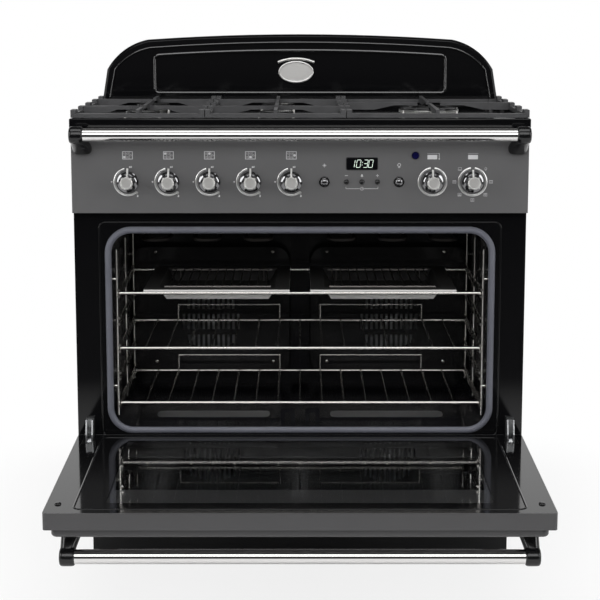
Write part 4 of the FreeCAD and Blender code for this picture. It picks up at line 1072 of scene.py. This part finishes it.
def splashEdge(inset):
    # the splashback's outline drawn in by an inset, from its right foot over the crown to its left foot
    edge = splash["edge"]
    sideX, sideZ = edge["side"][0] - inset, edge["side"][1]
    corner = (edge["corner"][0] - inset * 0.7, edge["corner"][1] - inset * 0.7)
    shoulder = (edge["shoulder"][0] - inset * 0.4, edge["shoulder"][1] - inset)
    right = [(sideX, 915.0)] + arcThrough((sideX - edge["lean"], sideZ), corner, shoulder, 14)
    top = arcThrough(shoulder, (0, edge["crown"] - inset), (-shoulder[0], shoulder[1]), 40)
    left = [(-x, z) for x, z in reversed(right)]
    return right + top[1:-1] + left


def makeSplashTrims():
    shape = bmesh.new()
    inset = splash["borderInset"] - splash["borderBead"][0] / 2
    path = [at(x, splash["front"], z) for x, z in splashEdge(inset)]
    sweep(shape, path, bead(*splash["borderBead"], 8), forward, closed=False)
    loop = crownedLoop(*splash["field"], splash["front"] + 2)
    sweep(shape, loop, bead(*splash["bead"], 8), forward)
    finished("splashback_beads", shape, "beadBlack")


def makeBadge():
    # a plain oval plate with an arched bar over it
    shape = bmesh.new()
    x, z, w, h = splash["badge"]
    y = splash["front"] + splash["fieldDepth"]
    rim = [at(px, y, pz) for px, pz in oval(x, z, w - 2, h - 2, 64)]
    sweep(shape, rim, [(-2.6, 0), (-2.2, 2.6), (0, 3.4), (1.6, 2.6), (2, 0)], forward)
    plate(shape, oval(x, z, w - 3, h - 3, 64), y, 2.0)
    half, height, radius, width = splash["badgeArc"]
    spread = degrees(asin(half / radius))
    path = arc(x, height - radius, radius, -spread, spread, y, 32)
    sweep(shape, path, bead(width, 2.4), forward, closed=False)
    finished("splashback_badge", shape, "knobFace", sharp=50)


makeSplashTrims()
makeBadge()
print("splashback trims and plain badge made")


burner = {
    "deck": 895.0, "baseHeight": 12.0,
    "small": [(-318.9, 103.5), (-318.9, 342.5), (-48.0, 103.5), (-48.0, 342.5)],
    "smallRadius": 38.0,
    "wide": (270.9, 223.0), "wideRadius": 64.0,
    "ports": 36, "portDepth": 2.2,
    "lidInset": 3,
    "electrodes": (-35, 215), "electrodeGap": 4,
}


def crown(shape, x, y, inner, outer, ports):
    # a burner's ring: a flared foot, a wall cut with flame ports, and an open middle if inner is set
    inside = max(inner, 0.5)
    levels = [
        (outer - 1.5, 0.0, 0), (outer - 1.0, 2.2, 0), (outer - 4.5, 4.2, 0), (outer - 4.0, 5.6, 0),
        (outer - 1.2, 6.4, 0), (outer - 1.2, 6.6, 1), (outer - 1.2, 10.4, 1), (outer - 1.2, 10.6, 0),
        (outer - 2.4, 12.0, 0), (inside, 12.0, 0), (inside, 0.0, 0),
    ]
    rings = []
    for radius, z, cut in levels:
        level = []
        for n, a in enumerate(circle(ports * 4)):
            r = radius - (burner["portDepth"] if cut and n % 4 < 2 else 0)
            level.append(shape.verts.new(at(x + r * cos(a), y + r * sin(a), burner["deck"] + z)))
        rings.append(level)
    for low, high in zip(rings, rings[1:] + rings[:1]):
        band(shape, low, high)


def lid(shape, x, y, radius, inner=0.0):
    foot = at(x, y, burner["deck"] + burner["baseHeight"])
    if inner:
        profile = [(inner, 0), (inner, 2.6), (inner + 1.6, 4.4), (inner + 3.4, 5.0), (radius - 3.4, 5.0)]
        profile += [(radius - 1.2, 4.2), (radius - 0.2, 2.4), (radius, 0.8), (radius - 0.8, 0), (inner, 0)]
    else:
        profile = [(0, 0), (radius - 0.8, 0), (radius, 0.8), (radius - 0.2, 2.4), (radius - 1.4, 4.0)]
        profile += [(radius - 4, 4.7), (radius * 0.5, 4.95), (0, 5.0)]
    lathe(shape, profile, foot, up, 72)


def makeBurners():
    crowns, lids = bmesh.new(), bmesh.new()
    for x, y in burner["small"]:
        crown(crowns, x, y, 0, burner["smallRadius"], burner["ports"])
        lid(lids, x, y, burner["smallRadius"] - burner["lidInset"])
    x, y = burner["wide"]
    crown(crowns, x, y, 40, burner["wideRadius"], burner["ports"] * 2)
    crown(crowns, x, y, 0, 24, 18)
    lid(lids, x, y, burner["wideRadius"] - burner["lidInset"], 42)
    lid(lids, x, y, 22)
    finished("burner_crowns", crowns, "alloy", "cooker", ["burner_bases"], sharp=40)
    finished("burner_lids", lids, "satinBlack", "cooker", ["burner_caps"], sharp=40)

    shape = bmesh.new()
    places = [(x, y, burner["smallRadius"]) for x, y in burner["small"]]
    places.append((*burner["wide"], burner["wideRadius"]))
    body = [(0, 0), (2.4, 0), (2.4, 6.2), (1.7, 7.0), (1.7, 9.4), (0.8, 9.8), (0.8, 11.6), (0, 11.8)]
    for x, y, radius in places:
        reach = radius + burner["electrodeGap"]
        for turn in burner["electrodes"]:
            a = radians(turn)
            foot = at(x + reach * cos(a), y + reach * sin(a), burner["deck"])
            lathe(shape, body, foot, up, 16)
    finished("burner_electrodes", shape, "ceramic", sharp=40)


makeBurners()
print("burners made")


lining = {
    "inner": -6.0, "loop": (-398.0, 259.5, 398.0, 693.5, 14.0),
    "bead": (4.5, 1.2),
    "buffers": (428.0, 666.0), "bufferRadius": 6.0,
}


def makeDoorLining():
    # everything is laid out on the shut door, then swung open with it
    y = lining["inner"]
    shape = bmesh.new()
    sweep(shape, roundedLoop(*lining["loop"], y), bead(*lining["bead"]), back)
    finished("door_lining_bead", shape, "black", "door", turn=doorTurn)

    shape = bmesh.new()
    x, z = lining["buffers"]
    r = lining["bufferRadius"]
    profile = [(r, 0), (r, 1.2), (r - 0.8, 2.4), (r - 2.4, 3.2), (0, 3.4)]
    for side in (-1, 1):
        lathe(shape, profile, at(side * x, y, z), back, 28)
    finished("door_buffers", shape, "glossPlastic", "door", turn=doorTurn, sharp=50)


makeDoorLining()
print("door lining made")


view = {
    "place": (0.0, -3.227, 1.135),
    "tiltDown": 8.87,
    "lens": 97.1,
    "shift": -0.08,  # the photograph's upright lines nearly keep upright
}


def makeCamera():
    camera = linked("camera", bpy.data.cameras.new("camera"))
    camera.location = view["place"]
    camera.rotation_euler = (radians(90 - view["tiltDown"]), 0, 0)
    camera.data.lens = view["lens"]
    camera.data.shift_y = view["shift"]
    camera.data.clip_end = 80
    scene.camera = camera


studio = {
    "floorHalf": 20.0,
    "footprint": (0.44, 0.50),  # half sizes of what stands on the floor, m
    "fade": 0.5,  # how far from it the floor turns into the white backdrop, m
    "shadow": 0.16,  # how much of the shadow the near floor keeps
    # where the pale floor turns dark in front, out of the picture, and over what length, m
    "frontReach": (1.0, 0.6),
    "paleFloor": (0.94, 0.94, 0.94),
    "darkFloor": (0.05, 0.05, 0.05),
    "softboxes": [
        # name, place, aims at, width, height, watts
        ("topSoftbox", (0.0, -0.9, 3.3), (0.0, -0.2, 0.9), 3.6, 1.3, 34),
        ("frontSoftbox", (0.0, -3.6, 2.6), (0.0, -0.05, 0.8), 4.0, 1.9, 66),
        ("leftSoftbox", (-3.0, -1.8, 1.5), (0.0, -0.2, 0.6), 1.0, 2.2, 34),
        ("rightSoftbox", (3.0, -1.8, 1.5), (0.0, -0.2, 0.6), 1.0, 2.2, 34),
    ],
    "ambient": 0.36,
    "mirroredAmbient": 0.07,
    "mirroredWhite": (0.1, 0.6, 4.0),
}


def seenAsBackdrop(f):
    # one for the eye, for mirrors and through glass; none for the light that falls on the object
    rays = f.node("LightPath")
    return rays.out("Is Camera Ray").atLeast(rays.out("Is Transmission Ray")), rays.out("Is Glossy Ray")


def makeFloor():
    mesh = bpy.data.meshes.new("floor")
    half = studio["floorHalf"]
    corners = [(-half, -half, 0), (half, -half, 0), (half, half, 0), (-half, half, 0)]
    mesh.from_pydata(corners, [], [(0, 1, 2, 3)])
    floor = linked("floor", mesh)
    f = Finish("paleFloor")
    spot = f.node("SeparateXYZ", {}, {0: f.place()})
    reach, length = studio["frontReach"]
    near = ((spot.out("Y") + (reach + length)) / length).atLeast(0.0).atMost(1.0)
    colour = f.between(near, studio["darkFloor"], studio["paleFloor"])
    f.surface(roughness=0.7, specular=0.1, colour=colour)
    aside = (abs(spot.out("X")) - studio["footprint"][0]).atLeast(0.0)
    along = (abs(spot.out("Y")) - studio["footprint"][1]).atLeast(0.0)
    away = ((aside * aside + along * along) ** 0.5 / studio["fade"]).atMost(1.0)
    smooth = away * away * (3.0 - 2.0 * away)
    cover = smooth * studio["shadow"] + (1.0 - studio["shadow"])
    eye, mirror = seenAsBackdrop(f)
    seen = (cover * eye).atLeast(smooth * mirror * near)
    white = f.node("Emission", {}, {"Color": (1, 1, 1), "Strength": 1.0}).out()
    mixed = f.node("MixShader", {}, {0: seen, 1: f.shader.out(), 2: white}).out()
    f.plug(f.output.node.inputs["Surface"], mixed)
    mesh.materials.append(f.material)


def makeWorld():
    world = bpy.data.worlds.new("studio")
    scene.world = world
    f = Finish("studioWorld", world)
    eye, mirror = seenAsBackdrop(f)
    diffuse = f.node("LightPath").out("Is Diffuse Ray")
    direction = f.node("SeparateXYZ", {}, {0: f.node("TexCoord").out("Generated")})
    # mirrors see white backwards and low down: where each fades out, and how steeply
    start, top, steepness = studio["mirroredWhite"]
    behind = ((direction.out("Y") + start) * steepness).atLeast(0.0).atMost(1.0)
    low = ((top - direction.out("Z")) * steepness).atLeast(0.0).atMost(1.0)
    seen = eye.atLeast(mirror * behind * low)
    dim = studio["mirroredAmbient"]
    level = dim + diffuse * (studio["ambient"] - dim)
    plain, white = [
        f.node("Background", {}, {"Color": (1, 1, 1), "Strength": strength}).out() for strength in (level, 1.0)
    ]
    mixed = f.node("MixShader", {}, {0: seen, 1: plain, 2: white}).out()
    f.node("OutputWorld", {}, {"Surface": mixed})


def makeSoftboxes():
    for name, place, target, width, height, watts in studio["softboxes"]:
        lamp = bpy.data.lights.new(name, "AREA")
        lamp.shape, lamp.size, lamp.size_y, lamp.energy = "RECTANGLE", width, height, watts
        box = linked(name, lamp)
        box.location = place
        box.rotation_euler = (Vector(target) - Vector(place)).to_track_quat("-Z", "Y").to_euler()


makeCamera()
makeFloor()
makeWorld()
makeSoftboxes()
scene.view_settings.view_transform = "Standard"
print("camera and studio ready")
